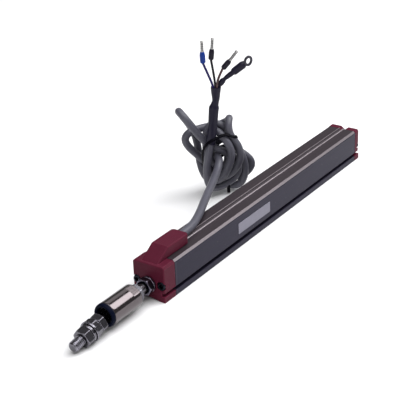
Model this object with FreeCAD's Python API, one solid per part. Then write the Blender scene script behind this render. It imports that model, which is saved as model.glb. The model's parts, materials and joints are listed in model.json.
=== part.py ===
import FreeCAD, Part
import math
import os

# A miniature rod-type linear position sensor: an extruded housing between two moulded caps, a rod that
# slides in a bush and carries a wiper along a resistive board, a ball-stud coupling on the rod's end, and
# a signal cable tied into a hank behind the housing.
# Lengths are millimetres. x runs outward along the rod, z up from the base, y towards the labelled side.
# Everything is drawn with the front cap's face at x = 0, then moved so that the origin lies under the
# middle of the sensor with its rod in.

V = FreeCAD.Vector
X_AXIS = V(1, 0, 0)
Y_AXIS = V(0, 1, 0)
Z_AXIS = V(0, 0, 1)

# Section of the extruded housing
WIDTH = 17.4
HEIGHT = 18.0
TOP_CHAMFER = 1.2
GROOVE_LOW = 2.9
GROOVE_HIGH = 4.9
GROOVE_DEPTH = 1.8
SLOT_HALF = 1.0
SLOT_DEPTH = 2.0
LIP_RISE = 0.35
LIP_FLAT = 0.4
ARCH_HALF = 5.6
ARCH_RISE = 1.0
CAVITY_HALF = 5.3
CAVITY_LOW = 2.6
CAVITY_HIGH = 13.6
CAVITY_CORNER = 1.0

# Lengths along the housing
STROKE = 150.0
HOUSING = STROKE + 38.0
FRONT_CAP = 8.2
REAR_CAP = 4.4
GASKET = 0.4
GASKET_INSET = 0.25
END_GAP = 0.5
PROFILE_FRONT = -(FRONT_CAP + GASKET)
PROFILE_BACK = -(HOUSING - REAR_CAP - GASKET)

# Moulded caps
CAP_BEVEL = 0.9
CAP_ROUND = 0.5
HUMP_HALF = 4.65
HUMP_TOP = 23.3
HUMP_FOOT = 1.2
HUMP_CREST = 9.5
HUMP_BACK = 25.6
HUMP_CORNER = 1.8
HUMP_ROUND = 0.6
HUMP_UNDER = HEIGHT + LIP_RISE + 0.05
NOTCH_HALF = 1.7
NOTCH_DEPTH = 2.0
SHOULDER_ROUND = 1.1
REAR_ROUND = 1.2

# Socket-head cap screws, M2
SCREW_Y = 6.7
SCREW_Z = 8.2
SCREW_R = 0.98
SCREW_GRIP = 6.0
HEAD_R = 1.9
HEAD_HIGH = 2.0
HEAD_EDGE = 0.2
SOCKET_FLATS = 1.5
SOCKET_DEEP = 1.0
COUNTERBORE_R = 2.35
FRONT_SINK = 3.0
REAR_SINK = 2.4
CLEARANCE = 0.12

# Rod, its bush and the wiper carriage
ROD_Z = 7.7
ROD_R = 2.5
RUN_FIT = 0.04
SEAT_GAP = 0.03
BUSH_R = 3.3
BUSH_BACK = -7.8
COLLAR_R = 3.9
COLLAR_END = 1.2
BUSH_HEX = 7.6
BUSH_END = 4.4
SEAL_R = 3.1
SEAL_BACK = 2.6
SEAL_LIP = 0.3
BUMPER = 2.0
BUMPER_R = 4.2
BUMPER_HOLE_R = 3.4
CARRIAGE = 20.0
CARRIAGE_WALL = 6.5
CARRIAGE_BACK = -(HOUSING - REAR_CAP) + BUMPER + END_GAP
CARRIAGE_FRONT = CARRIAGE_BACK + CARRIAGE
SHOE_GAP = 0.12
SHOE_ROUND = 0.8
SHOE_LONG = 4.0
SHOE_RELIEF = 0.5
WINDOW = 8.0
WINDOW_SIDE = 3.2
JOURNAL_R = 1.5
CLIP_R = 2.6
CLIP_THICK = 0.7
CLIP_GROOVE = 0.4
BOARD_THICK = 1.0
BOARD_LOW = 3.8
BOARD_HIGH = 12.4
BOARD_FACE = BOARD_THICK - CAVITY_HALF
WIPER_GAP = 1.5
TRACK_THICK = 0.1
TRACK_HIGH = 2.2
FINGER_THICK = 0.25
FINGER_REACH = 4.6
BOARD_END = 1.0
TRACK_MARGIN = 2.0
TERMINAL_LONG = 4.0
TERMINAL_HIGH = 1.6
TERMINAL_THICK = 0.3
LEADS_R = 1.1
LEADS_ROUTE = [
    (-18.0, 0.0, 20.6),
    (-10.8, 0.0, 20.6),
    (-6.4, -0.2, 18.2),
    (-5.2, -1.2, 14.8),
    (-6.8, -2.6, 12.7),
    (-10.4, -3.0, 12.1),
]

# Ball-stud coupling, M5
JAM_BACK = 8.8
COUPLING_BACK = 11.5
COUPLING_FRONT = 30.5
COUPLING_R = 5.6
COUPLING_ROUND = 1.3
COUPLING_BORE = 4.4
THREAD_END = 18.0
FLAT_ACROSS = 9.7
FLAT_LONG = 5.0
FLAT_TURN = 24.0
JAM_TURN = 60.0 - FLAT_TURN
BALL_X = 26.0
BALL_R = 3.6
BALL_FACE = 2.9
SWING = 15.0
SPRING_BACK = 19.3
SEAT_BACK = 20.6
RING_BACK = 29.2
RING_FRONT = 30.0
RING_HOLE_R = 3.5
RING_MOUTH = 1.2
SPRING_HOLE_R = 2.7
SPRING_R = 4.2
SPRING_THICK = 0.4
CUP_SPLIT = 0.2
CUP_POCKET_R = 3.2
BOOT_FRONT = 32.4
BOOT_LIP_R = 3.8
BOOT_EDGE = 0.3
NUT_FLATS = 8.0
NUT_LAND = 0.475

# Stud and what is on it, measured along the stud from the ball's centre
DROOP = 9.0
PIN_R = 1.9
NECK_R = 2.05
TAIL_R = 1.5
TAIL_END = -3.9
TAIL_CLIP_R = 2.1
END_FLOAT = 0.05
COLLAR_HEX = (8.5, 12.0)
LOCK_NUT = (12.0, 15.2)
WASHER = (15.2, 16.2)
LOCK_WASHER = (16.2, 17.8)
CLAMP_NUT = (17.8, 21.8)
STUD_END = 27.5
STUD_R = 2.5
STUD_ROOT_R = 2.07
TIP_CHAMFER = 0.6
WASHER_R = 4.9
WASHER_GAP = 0.15
LOCK_WASHER_R = 4.35
LOCK_WASHER_SLACK = 0.3
LOCK_WASHER_SPLIT = 0.6
COLLAR_HEX_TURN = -6.0
LOCK_NUT_TURN = 11.0
CLAMP_NUT_TURN = -7.0

# Signal cable: the lead, the hank behind the housing, and the stripped end
CABLE_R = 2.0
CABLE_Z = 20.6
LEAD_START = LEADS_ROUTE[0][0]
LEAD_ROUTE = [
    (LEAD_START, 0.0, CABLE_Z),
    (-33.0, 0.0, CABLE_Z),
    (-48.0, -5.2, 20.2),
    (-64.0, -12.6, 20.2),
    (-80.0, -20.0, 20.8),
    (-94.5, -25.4, 24.2),
    (-103.6, -28.2, 32.4),
]
HANK_MIDDLE = V(-107.0, -32.0, 20.6)
HANK_FACING = 35.5
HANK_R = 14.5
HANK_ROPE_R = 6.0
BIGHT_FOOT = (-7.0, 10.0)
BIGHT_TIP = (-19.0, 26.0)
BIGHT_HALF = 7.0
VIEW_RISE = 25.0
TIE_MIDDLE = (-1.0, 6.0)
TIE_TILT = 40.0
TIE_HALF = 5.0
TIE_BEND = 7.5
TIE_R = 0.65
SLEEVE_FOOT = (-4.1, 4.0, 12.0)
SLEEVE_TOP = (-1.2, 4.0, 42.3)
SLEEVE_R = 2.4
WAIST_R = 1.7
WAIST_AT = 21.5
WAIST_LAND = 0.6
WIRE_R = 0.65
SCREEN_R = 1.05
COLLAR_TIP_R = 1.05
FERRULE_COLLAR_R = 1.45
FERRULE_PIN_R = 0.7
WIRES = {
    "blue": [(-2.7, 0.5, 0.0), (-4.6, 0.5, 5.5), (-7.6, 0.5, 13.2)],
    "black": [(-1.75, -1.0, 0.0), (-2.2, -1.0, 6.0), (-3.5, -1.0, 14.4)],
    "brown": [(-1.0, 0.9, 0.0), (-0.1, 0.9, 5.4), (2.3, 0.9, 10.1)],
}
FERRULES = {
    "blue": [(-7.6, 0.5, 13.2), (-7.9, 0.5, 19.3), (-7.9, 0.5, 24.6)],
    "black": [(-3.5, -1.0, 14.4), (-2.9, -1.0, 20.1), (-2.4, -1.0, 26.4)],
    "brown": [(2.3, 0.9, 10.1), (6.0, 0.9, 14.4), (9.6, 0.9, 19.0)],
}
SCREEN_ROUTE = [(0.1, -0.6, 0.0), (2.8, -0.6, 4.2), (6.8, -0.6, 7.2), (10.7, -0.6, 10.2), (12.8, -0.6, 11.7)]
LUG_EYE = (15.3, -0.6, 13.2)
LUG_R = 2.75
LUG_HOLE_R = 1.6
LUG_THICK = 0.8
LUG_TONGUE = 2.0

# How far the stud's tip reaches, and where that puts the front face
TIP_R = STUD_R - TIP_CHAMFER
STUD_REACH = BALL_X + STUD_END * math.cos(math.radians(DROOP)) + TIP_R * math.sin(math.radians(DROOP))
FRONT_X = (HOUSING - STUD_REACH) / 2


def polygon_face(points):
    """Flat face inside a closed run of straight edges."""
    return Part.Face(Part.Wire(Part.makePolygon(points + points[:1]).Edges))


def section(right):
    """Face across the housing: the right half's corners, their mirror image and the arched underside."""
    left = [(-y, z) for y, z in reversed(right)]
    corners = [V(0, y, z) for y, z in right + left]
    edges = [Part.LineSegment(a, b).toShape() for a, b in zip(corners, corners[1:])]
    edges.append(Part.Arc(corners[-1], V(0, 0, ARCH_RISE), corners[0]).toShape())
    return Part.Face(Part.Wire(edges))


def flank(bevel):
    """Right-hand corners from the foot up past the clamp groove to the bevelled top edge."""
    half = WIDTH / 2
    return [
        (ARCH_HALF, 0),
        (half, 0),
        (half, GROOVE_LOW),
        (half - GROOVE_DEPTH, GROOVE_LOW),
        (half - GROOVE_DEPTH, GROOVE_HIGH),
        (half, GROOVE_HIGH),
        (half, HEIGHT - bevel),
        (half - bevel, HEIGHT),
    ]


def turned(outline):
    """Solid of revolution about x from (distance, radius) corners."""
    return polygon_face([V(d, 0, r) for d, r in outline]).revolve(V(0, 0, 0), X_AXIS, 360)


def ring(start, end, outer, inner):
    """Plain ring about x."""
    return turned([(start, inner), (end, inner), (end, outer), (start, outer)])


def hexagon(start, end, across_flats, turn=0.0, hole=0.0):
    """Hexagon about x with its corners turned off at both ends, and an optional round hole."""
    corner = across_flats / math.sqrt(3)
    angles = [math.radians(turn + 60 * k) for k in range(6)]
    face = polygon_face([V(start, corner * math.cos(a), corner * math.sin(a)) for a in angles])
    prism = face.extrude(V(end - start, 0, 0))
    land = NUT_LAND * across_flats
    slope = (corner - land) * math.tan(math.radians(30))
    rims = [(start, land), (start + slope, corner), (end - slope, corner), (end, land)]
    solid = prism.common(turned([(start, 0)] + rims + [(end, 0)]))
    return solid.cut(ring(start - 1, end + 1, hole, 0)) if hole else solid


def on_rod(shape):
    """Lift a shape drawn about the x axis on to the rod's axis."""
    return shape.translated(V(0, 0, ROD_Z))


def on_stud(shape):
    """Move a shape drawn about x from the ball's centre to its place on the drooping stud."""
    return on_rod(shape.rotated(V(0, 0, 0), Y_AXIS, DROOP).translated(V(BALL_X, 0, 0)))


def rounded(shape, radius, wanted):
    """Round the edges that a test on their bounding box picks out."""
    return shape.makeFillet(radius, [e for e in shape.Edges if wanted(e.BoundBox)])


def along_x(box):
    """True for the box of an edge that runs along x."""
    return box.YLength < 1e-3 and box.ZLength < 1e-3


def upright(box):
    """True for the box of an edge that runs along z."""
    return box.XLength < 1e-3 and box.YLength < 1e-3


def tube(points, radius):
    """Round tube along straight runs joined by the largest tangent arcs that the runs allow."""
    edges = []
    radii = []
    last = points[0]
    for before, corner, after in zip(points, points[1:], points[2:]):
        come = (corner - before).normalize()
        go = (after - corner).normalize()
        half = come.getAngle(go) / 2
        reach = 0.45 * min((corner - before).Length, (after - corner).Length)
        bend = reach / math.tan(half)
        radii.append(round(bend, 1))
        inward = (go - come).normalize()
        start = corner - come * reach
        end = corner + go * reach
        middle = corner + inward * (bend / math.cos(half) - bend)
        edges.append(Part.LineSegment(last, start).toShape())
        edges.append(Part.Arc(start, middle, end).toShape())
        last = end
    edges.append(Part.LineSegment(last, points[-1]).toShape())
    path = Part.Wire(edges)
    rim = Part.Wire(Part.Circle(points[0], points[1] - points[0], radius).toShape())
    solid = path.makePipeShell([rim], True, False)
    share = solid.Volume / (math.pi * radius ** 2 * path.Length)
    print("tube", round(2 * radius, 2), "across,", round(path.Length, 1), "long")
    print("  radii", radii, "volume over section times length", round(share, 4))
    return solid


def cavity():
    """Room inside the housing for the carriage, the rod and the board."""
    long = PROFILE_FRONT - PROFILE_BACK + 2
    corner = V(PROFILE_BACK - 1, -CAVITY_HALF, CAVITY_LOW)
    box = Part.makeBox(long, 2 * CAVITY_HALF, CAVITY_HIGH - CAVITY_LOW, corner)
    return rounded(box, CAVITY_CORNER, along_x)


def screw_pair(start, length, radius):
    """Two plain cylinders on the screws' axes."""
    return [Part.makeCylinder(radius, length, V(start, side * SCREW_Y, SCREW_Z), X_AXIS) for side in (1, -1)]


def profile_housing():
    """Extruded housing with clamp grooves, a lipped top slot, an arched base and tapped ends."""
    lips = [
        (SLOT_HALF + LIP_FLAT + LIP_RISE, HEIGHT),
        (SLOT_HALF + LIP_FLAT, HEIGHT + LIP_RISE),
        (SLOT_HALF, HEIGHT + LIP_RISE),
        (SLOT_HALF, HEIGHT - SLOT_DEPTH),
    ]
    face = section(flank(TOP_CHAMFER) + lips).translated(V(PROFILE_BACK, 0, 0))
    body = face.extrude(V(PROFILE_FRONT - PROFILE_BACK, 0, 0)).cut(cavity())
    deep = SCREW_GRIP + 1
    taps = screw_pair(PROFILE_FRONT - deep, deep, SCREW_R + SEAT_GAP)
    taps += screw_pair(PROFILE_BACK, deep, SCREW_R + SEAT_GAP)
    return body.cut(taps)


def cable_hump():
    """Sloping hump on the front cap that turns the cable back along the housing."""
    side = [
        (-HUMP_FOOT, HEIGHT - 1),
        (-HUMP_FOOT, HEIGHT),
        (-HUMP_CREST, HUMP_TOP),
        (-HUMP_BACK, HUMP_TOP),
        (-HUMP_BACK, HUMP_UNDER),
        (-FRONT_CAP, HUMP_UNDER),
        (-FRONT_CAP, HEIGHT - 1),
    ]
    block = polygon_face([V(x, -HUMP_HALF, z) for x, z in side]).extrude(V(0, 2 * HUMP_HALF, 0))
    block = rounded(block, HUMP_CORNER, lambda box: upright(box) and box.XMax < -HUMP_BACK + 0.1)
    return rounded(block, HUMP_ROUND, lambda box: box.ZMax > HUMP_TOP - 0.01 and not upright(box))


def front_cap():
    """Front cap with the cable hump, the bush hole and counterbores that break out through its sides."""
    block = section(flank(CAP_BEVEL)).extrude(V(-FRONT_CAP, 0, 0))
    block = rounded(block, CAP_ROUND, lambda box: box.XMin > -0.01 and box.ZMax > GROOVE_HIGH + 0.1)
    cap = block.fuse(cable_hump()).removeSplitter()
    cuts = [on_rod(ring(-FRONT_CAP - 1, 1, BUSH_R + SEAT_GAP, 0))]
    cuts += screw_pair(-FRONT_CAP - 1, FRONT_CAP, SCREW_R + CLEARANCE)
    cuts += screw_pair(-FRONT_SINK, FRONT_SINK + 1, COUNTERBORE_R)
    cuts.append(Part.makeCylinder(CABLE_R + SEAT_GAP, HUMP_BACK, V(LEAD_START, 0, CABLE_Z), -X_AXIS))
    cuts.append(tube([V(*p) for p in LEADS_ROUTE], LEADS_R + CLEARANCE))
    return cap.cut(cuts)


def rear_cap():
    """Rear cap with two rounded shoulders either side of the slot notch."""
    top = [(NOTCH_HALF, HEIGHT), (NOTCH_HALF, HEIGHT - NOTCH_DEPTH)]
    block = section(flank(CAP_BEVEL) + top).extrude(V(-REAR_CAP, 0, 0))
    inner = NOTCH_HALF + 0.01
    block = rounded(block, SHOULDER_ROUND, lambda box: along_x(box) and box.ZMin > HEIGHT - 0.01
                    and box.YMax < inner and box.YMin > -inner)
    back = 0.01 - REAR_CAP
    block = rounded(block, REAR_ROUND, lambda box: box.XMax < back and box.ZMax > GROOVE_HIGH + 0.1)
    cap = block.translated(V(REAR_CAP - HOUSING, 0, 0))
    cuts = screw_pair(-HOUSING, REAR_CAP + 1, SCREW_R + CLEARANCE)
    cuts += screw_pair(-HOUSING - 1, REAR_SINK + 1, COUNTERBORE_R)
    return cap.cut(cuts)


def gasket(back):
    """Thin sealing sheet between a cap and the housing's end, a little inside the outline."""
    side = WIDTH / 2 - GASKET_INSET
    top = HEIGHT - GASKET_INSET
    outline = [
        (ARCH_HALF, GASKET_INSET),
        (side, GASKET_INSET),
        (side, GROOVE_LOW - GASKET_INSET),
        (side - GROOVE_DEPTH, GROOVE_LOW - GASKET_INSET),
        (side - GROOVE_DEPTH, GROOVE_HIGH + GASKET_INSET),
        (side, GROOVE_HIGH + GASKET_INSET),
        (side, top - TOP_CHAMFER),
        (side - TOP_CHAMFER, top),
        (NOTCH_HALF + GASKET_INSET, top),
        (NOTCH_HALF + GASKET_INSET, top - SLOT_DEPTH),
    ]
    sheet = section(outline).extrude(V(GASKET, 0, 0)).translated(V(back, 0, 0))
    return sheet.cut([cavity()] + screw_pair(back - 1, GASKET + 2, SCREW_R + CLEARANCE))


def cap_screws(seat, outward, grip_end):
    """Two socket-head screws, heads on the seat and shanks running in to the grip's end."""
    long = abs(grip_end - seat)
    rim = HEAD_R - HEAD_EDGE
    top = HEAD_HIGH - HEAD_EDGE
    shank = [(-long, 0), (-long, SCREW_R), (0, SCREW_R)]
    head = [(0, HEAD_R), (top, HEAD_R), (HEAD_HIGH, rim), (HEAD_HIGH, 0)]
    screw = turned(shank + head).cut(hexagon(HEAD_HIGH - SOCKET_DEEP, HEAD_HIGH + 1, SOCKET_FLATS))
    if outward < 0:
        screw = screw.rotated(V(0, 0, 0), Z_AXIS, 180)
    return Part.makeCompound([screw.translated(V(seat, side * SCREW_Y, SCREW_Z)) for side in (1, -1)])


def rod_bush():
    """Threaded guide bush: a body in the cap, a round collar, a hexagon and a recess for the seal."""
    body = turned([(BUSH_BACK, 0), (0, 0), (0, BUSH_R), (BUSH_BACK, BUSH_R)])
    collar = ring(0, COLLAR_END, COLLAR_R, 0)
    bush = body.fuse([collar, hexagon(COLLAR_END, BUSH_END, BUSH_HEX)]).removeSplitter()
    bore = ring(BUSH_BACK - 1, BUSH_END + 1, ROD_R + RUN_FIT, 0)
    recess = ring(SEAL_BACK, BUSH_END + 1, SEAL_R, 0)
    return on_rod(bush.cut([bore, recess]))


def rod_wiper_seal():
    """Lip seal that sits in the bush and wipes the rod."""
    inner = ROD_R + RUN_FIT
    outer = SEAL_R - SEAT_GAP
    front = BUSH_END - SEAL_LIP
    groove = front - 2 * SEAL_LIP
    lip = [(front, inner), (groove, inner + SEAL_LIP), (front, outer)]
    return on_rod(turned([(SEAL_BACK, inner)] + lip + [(SEAL_BACK, outer)]))


def bumper(start):
    """Rubber ring on a cap's inner face that cushions the carriage at the end of its travel."""
    return on_rod(ring(start, start + BUMPER, BUMPER_R, BUMPER_HOLE_R))


def inner_leads():
    """The cable's bared cores, from the hump down through the cap to the board."""
    return tube([V(*p) for p in LEADS_ROUTE], LEADS_R)


def track_board():
    """Board along the inside wall that carries the resistive and the collector track."""
    long = PROFILE_FRONT - PROFILE_BACK - 2 * BOARD_END
    corner = V(PROFILE_BACK + BOARD_END, -CAVITY_HALF, BOARD_LOW)
    return Part.makeBox(long, BOARD_THICK, BOARD_HIGH - BOARD_LOW, corner)


def track_heights():
    """Lower edges of the two tracks on the board."""
    gap = (BOARD_HIGH - BOARD_LOW - 2 * TRACK_HIGH) / 3
    return [BOARD_LOW + gap, BOARD_LOW + 2 * gap + TRACK_HIGH]


def track_layers():
    """Resistive and collector tracks printed on the board."""
    start = PROFILE_BACK + BOARD_END + TRACK_MARGIN
    long = PROFILE_FRONT - BOARD_END - TERMINAL_LONG - TRACK_MARGIN - start
    strips = [Part.makeBox(long, TRACK_THICK, TRACK_HIGH, V(start, BOARD_FACE, z)) for z in track_heights()]
    return Part.makeCompound(strips)


def board_terminals():
    """Three crimped clips on the board's front end, where the cores join the tracks."""
    back = -(FRONT_CAP + BUMPER + END_GAP + TERMINAL_LONG)
    step = (BOARD_HIGH - BOARD_LOW) / 3
    half = TERMINAL_HIGH / 2
    clips = []
    for row in range(3):
        middle = BOARD_LOW + step * (row + 0.5)
        corner = V(back, BOARD_FACE, middle - half)
        plate = Part.makeBox(TERMINAL_LONG, TERMINAL_THICK, TERMINAL_HIGH, corner)
        seat = V(back, BOARD_FACE + TERMINAL_THICK, middle)
        barrel = Part.makeCylinder(half, TERMINAL_LONG / 2, seat, X_AXIS)
        room = Part.makeBox(TERMINAL_LONG, TERMINAL_HIGH, TERMINAL_HIGH, corner)
        clips.append(plate.fuse(barrel.common(room)).removeSplitter())
    return Part.makeCompound(clips)


def wiper_carriage():
    """Sliding block: a front wall for the rod's journal, a window for its clip and four guide shoes."""
    low = CAVITY_LOW + SHOE_GAP
    high = CAVITY_HIGH - SHOE_GAP
    inner = BOARD_FACE + WIPER_GAP
    outer = CAVITY_HALF - SHOE_GAP
    block = Part.makeBox(CARRIAGE, outer - inner, high - low, V(CARRIAGE_BACK, inner, low))
    block = rounded(block, SHOE_ROUND, along_x)
    wall = CARRIAGE_FRONT - CARRIAGE_WALL
    corner = V(wall - WINDOW, inner - 1, low - 1)
    window = Part.makeBox(WINDOW, WINDOW_SIDE - inner + 1, high - low + 2, corner)
    waist = CARRIAGE - 2 * SHOE_LONG
    reliefs = []
    for base, size in (
        (V(0, outer - SHOE_RELIEF, low - 1), V(waist, 2, high - low + 2)),
        (V(0, inner - 1, low - 1), V(waist, outer - inner + 2, 1 + SHOE_RELIEF)),
        (V(0, inner - 1, high - SHOE_RELIEF), V(waist, outer - inner + 2, 2)),
    ):
        reliefs.append(Part.makeBox(size.x, size.y, size.z, base + X_AXIS * (CARRIAGE_BACK + SHOE_LONG)))
    bore = on_rod(ring(wall - 1, CARRIAGE_FRONT + 1, JOURNAL_R + RUN_FIT, 0))
    return block.cut([window, bore] + reliefs)


def wiper_contacts():
    """Pair of sprung contact fingers that bridge the two tracks."""
    root = BOARD_FACE + WIPER_GAP
    touch = BOARD_FACE + TRACK_THICK + RUN_FIT
    heel = CARRIAGE_BACK + 1
    bend = heel + SHOE_LONG
    tip = bend + FINGER_REACH
    curl = tip - 3 * FINGER_THICK
    outline = [
        (heel, root), (heel, root - FINGER_THICK), (bend, root - FINGER_THICK), (curl, touch),
        (tip, touch + 2 * FINGER_THICK), (tip - FINGER_THICK, touch + 3 * FINGER_THICK),
        (curl, touch + FINGER_THICK), (bend, root),
    ]
    wide = TRACK_HIGH / 2
    fingers = []
    for low in track_heights():
        corners = [V(x, y, low + (TRACK_HIGH - wide) / 2) for x, y in outline]
        fingers.append(polygon_face(corners).extrude(V(0, 0, wide)))
    return Part.makeCompound(fingers)


def push_rod():
    """Ground rod with a journal and clip groove behind and a thread in front."""
    front = CARRIAGE_FRONT + RUN_FIT
    groove = CARRIAGE_FRONT - CARRIAGE_WALL - RUN_FIT
    land = groove - CLIP_THICK - RUN_FIT
    neck = JOURNAL_R - CLIP_GROOVE
    back = land - 3 * CLIP_GROOVE
    journal = [
        (back, 0), (back, neck), (back + CLIP_GROOVE, JOURNAL_R), (land, JOURNAL_R), (land, neck),
        (groove, neck), (groove, JOURNAL_R), (front, JOURNAL_R),
    ]
    rod = [
        (front, ROD_R), (THREAD_END - TIP_CHAMFER, ROD_R),
        (THREAD_END, ROD_R - TIP_CHAMFER), (THREAD_END, 0),
    ]
    return on_rod(turned(journal + rod))


def rod_clip():
    """Retaining clip in the journal's groove, open on one side."""
    front = CARRIAGE_FRONT - CARRIAGE_WALL - RUN_FIT
    neck = JOURNAL_R - CLIP_GROOVE + SEAT_GAP
    disc = ring(front - CLIP_THICK, front, CLIP_R, neck)
    mouth = Part.makeBox(2 * CLIP_THICK, CLIP_R, 1.6 * neck, V(front - 1.5 * CLIP_THICK, 0, -0.8 * neck))
    return on_rod(disc.cut(mouth))


def coupling_body():
    """Turned coupling with a rounded shoulder, wrench flats, a threaded hole and the ball's bore."""
    outline = [
        (COUPLING_BACK, ROD_R + SEAT_GAP), (COUPLING_BACK, COUPLING_R), (COUPLING_FRONT, COUPLING_R),
        (COUPLING_FRONT, COUPLING_BORE), (SPRING_BACK, COUPLING_BORE), (SPRING_BACK, ROD_R + SEAT_GAP),
    ]
    rear = COUPLING_BACK + 0.01
    rim = COUPLING_R - 0.01
    body = rounded(turned(outline), COUPLING_ROUND, lambda box: box.XMax < rear and box.YMax > rim)
    corner = V(COUPLING_BACK, -COUPLING_R, FLAT_ACROSS / 2)
    slab = Part.makeBox(FLAT_LONG, 2 * COUPLING_R, COUPLING_R, corner)
    flats = [slab.rotated(V(0, 0, 0), X_AXIS, turn - FLAT_TURN) for turn in (0, 180)]
    return on_rod(body.cut(flats))


def ball_seat(start, end, mouth):
    """Nylon cup about the ball, with a cone or pocket that leaves room for the stud's swing."""
    cup = ring(start, end, COUPLING_BORE - SEAT_GAP, 0)
    ball = Part.makeSphere(BALL_R + RUN_FIT, V(BALL_X, 0, 0))
    return on_rod(cup.cut([ball, mouth]))


def rear_seat():
    """Cup behind the ball, bored through for the stud's tail."""
    return ball_seat(SEAT_BACK, BALL_X - CUP_SPLIT, ring(SEAT_BACK - 1, BALL_X, CUP_POCKET_R, 0))


def front_seat():
    """Cup in front of the ball, with a cone for the stud's neck."""
    spread = math.tan(math.radians(SWING + 1))
    near = NECK_R + CUP_SPLIT
    far = near + spread * (RING_BACK + 1 - BALL_X)
    cone = turned([(BALL_X, 0), (BALL_X, near), (RING_BACK + 1, far), (RING_BACK + 1, 0)])
    return ball_seat(BALL_X + CUP_SPLIT, RING_BACK, cone)


def seat_spring():
    """Coned spring washer that loads the rear cup against the ball."""
    inner = [(SPRING_BACK, SPRING_HOLE_R), (SPRING_BACK + SPRING_THICK, SPRING_HOLE_R)]
    outer = [(SEAT_BACK, SPRING_R), (SEAT_BACK - SPRING_THICK, SPRING_R)]
    return on_rod(turned(inner + outer))


def retaining_ring():
    """Snap ring that closes the coupling's bore, open on one side."""
    hoop = ring(RING_BACK, RING_FRONT, COUPLING_BORE - SEAT_GAP, RING_HOLE_R)
    mouth = Part.makeBox(2, RING_MOUTH, COUPLING_BORE, V(RING_BACK - 0.5, -RING_MOUTH / 2, 0))
    return on_rod(hoop.cut(mouth))


def dust_boot():
    """Rubber boot on the coupling's mouth, with an inner lip around the stud's neck."""
    outer = COUPLING_R - SEAT_GAP
    root = COUPLING_BORE - SEAT_GAP
    edge = BOOT_EDGE
    rear = [(RING_FRONT, BOOT_LIP_R), (RING_FRONT, root), (COUPLING_FRONT, root), (COUPLING_FRONT, outer)]
    front = [
        (BOOT_FRONT - 3 * edge, outer), (BOOT_FRONT - edge, outer - edge), (BOOT_FRONT, outer - 3 * edge),
        (BOOT_FRONT - edge, BOOT_LIP_R + edge), (BOOT_FRONT - 2 * edge, BOOT_LIP_R),
    ]
    return on_rod(turned(rear + front))


def ball():
    """Bored ball that turns on the stud and swivels in its cups."""
    sphere = Part.makeSphere(BALL_R)
    slab = ring(-BALL_FACE, BALL_FACE, BALL_R + 1, PIN_R + RUN_FIT)
    return on_stud(sphere.common(slab))


def stud():
    """Ball stud: tail and journal in the ball, a neck, a wrench hexagon and the thread."""
    face = BALL_FACE + END_FLOAT
    journal = [
        (TAIL_END, 0), (TAIL_END, TAIL_R), (-face, TAIL_R), (-face, PIN_R), (face, PIN_R), (face, NECK_R),
    ]
    thread = [
        (COLLAR_HEX[1], NECK_R), (COLLAR_HEX[1], STUD_ROOT_R), (CLAMP_NUT[1], STUD_ROOT_R),
        (CLAMP_NUT[1], STUD_R), (STUD_END - TIP_CHAMFER, STUD_R), (STUD_END, TIP_R), (STUD_END, 0),
    ]
    collar = hexagon(COLLAR_HEX[0], COLLAR_HEX[1], NUT_FLATS, COLLAR_HEX_TURN)
    return on_stud(turned(journal + thread).fuse(collar).removeSplitter())


def stud_clip():
    """Clip on the stud's tail that keeps the ball on its journal."""
    return on_stud(ring(TAIL_END + END_FLOAT, -BALL_FACE - 2 * END_FLOAT, TAIL_CLIP_R, TAIL_R + SEAT_GAP))


def nut(span, turn):
    """Hexagon nut on the stud's thread."""
    return on_stud(hexagon(span[0], span[1], NUT_FLATS, turn, STUD_ROOT_R + SEAT_GAP))


def lock_washer():
    """Spring washer with its ends cut apart on a slant."""
    start, end = LOCK_WASHER
    hoop = ring(start, end - LOCK_WASHER_SLACK, LOCK_WASHER_R, STUD_R + WASHER_GAP)
    split = Part.makeBox(4, LOCK_WASHER_SPLIT, LOCK_WASHER_R, V(start - 1, -LOCK_WASHER_SPLIT / 2, 0))
    slanted = split.rotated(V(start, 0, 0), Z_AXIS, 35).rotated(V(0, 0, 0), X_AXIS, 60)
    return on_stud(hoop.cut(slanted))


def hank_point(across, toward, up):
    """Point in the hank's own frame: across its face, out of its face, and up."""
    turn = math.radians(HANK_FACING)
    out = V(math.cos(turn), math.sin(turn), 0)
    return HANK_MIDDLE + V(-out.y, out.x, 0) * across + out * toward + Z_AXIS * up


def cable_lead():
    """Cable from the hump's bore back along the housing to the hank."""
    return tube([V(*p) for p in LEAD_ROUTE], CABLE_R)


def cable_coil():
    """Outer shape of the tied hank: a ring of turns and the long bight that sticks out of it."""
    out = hank_point(0, 1, 0) - HANK_MIDDLE
    turns = Part.makeTorus(HANK_R, HANK_ROPE_R, HANK_MIDDLE, out)
    foot = hank_point(BIGHT_FOOT[0], 0, BIGHT_FOOT[1])
    tip = hank_point(BIGHT_TIP[0], 0, BIGHT_TIP[1])
    length = (tip - foot).normalize()
    rise = math.radians(VIEW_RISE)
    wide = out * math.cos(rise) + Z_AXIS * math.sin(rise)
    wide = (wide - length * wide.dot(length)).normalize()
    thick = length.cross(wide)
    shoulder = tip - length * BIGHT_HALF
    a = foot + wide * BIGHT_HALF
    b = shoulder + wide * BIGHT_HALF
    c = shoulder - wide * BIGHT_HALF
    d = foot - wide * BIGHT_HALF
    rim = Part.Wire([
        Part.LineSegment(a, b).toShape(),
        Part.Arc(b, tip, c).toShape(),
        Part.LineSegment(c, d).toShape(),
        Part.LineSegment(d, a).toShape(),
    ])
    bight = Part.Face(rim).translated(thick * -CABLE_R).extrude(thick * 2 * CABLE_R)
    return turns.fuse(bight).removeSplitter()


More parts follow.
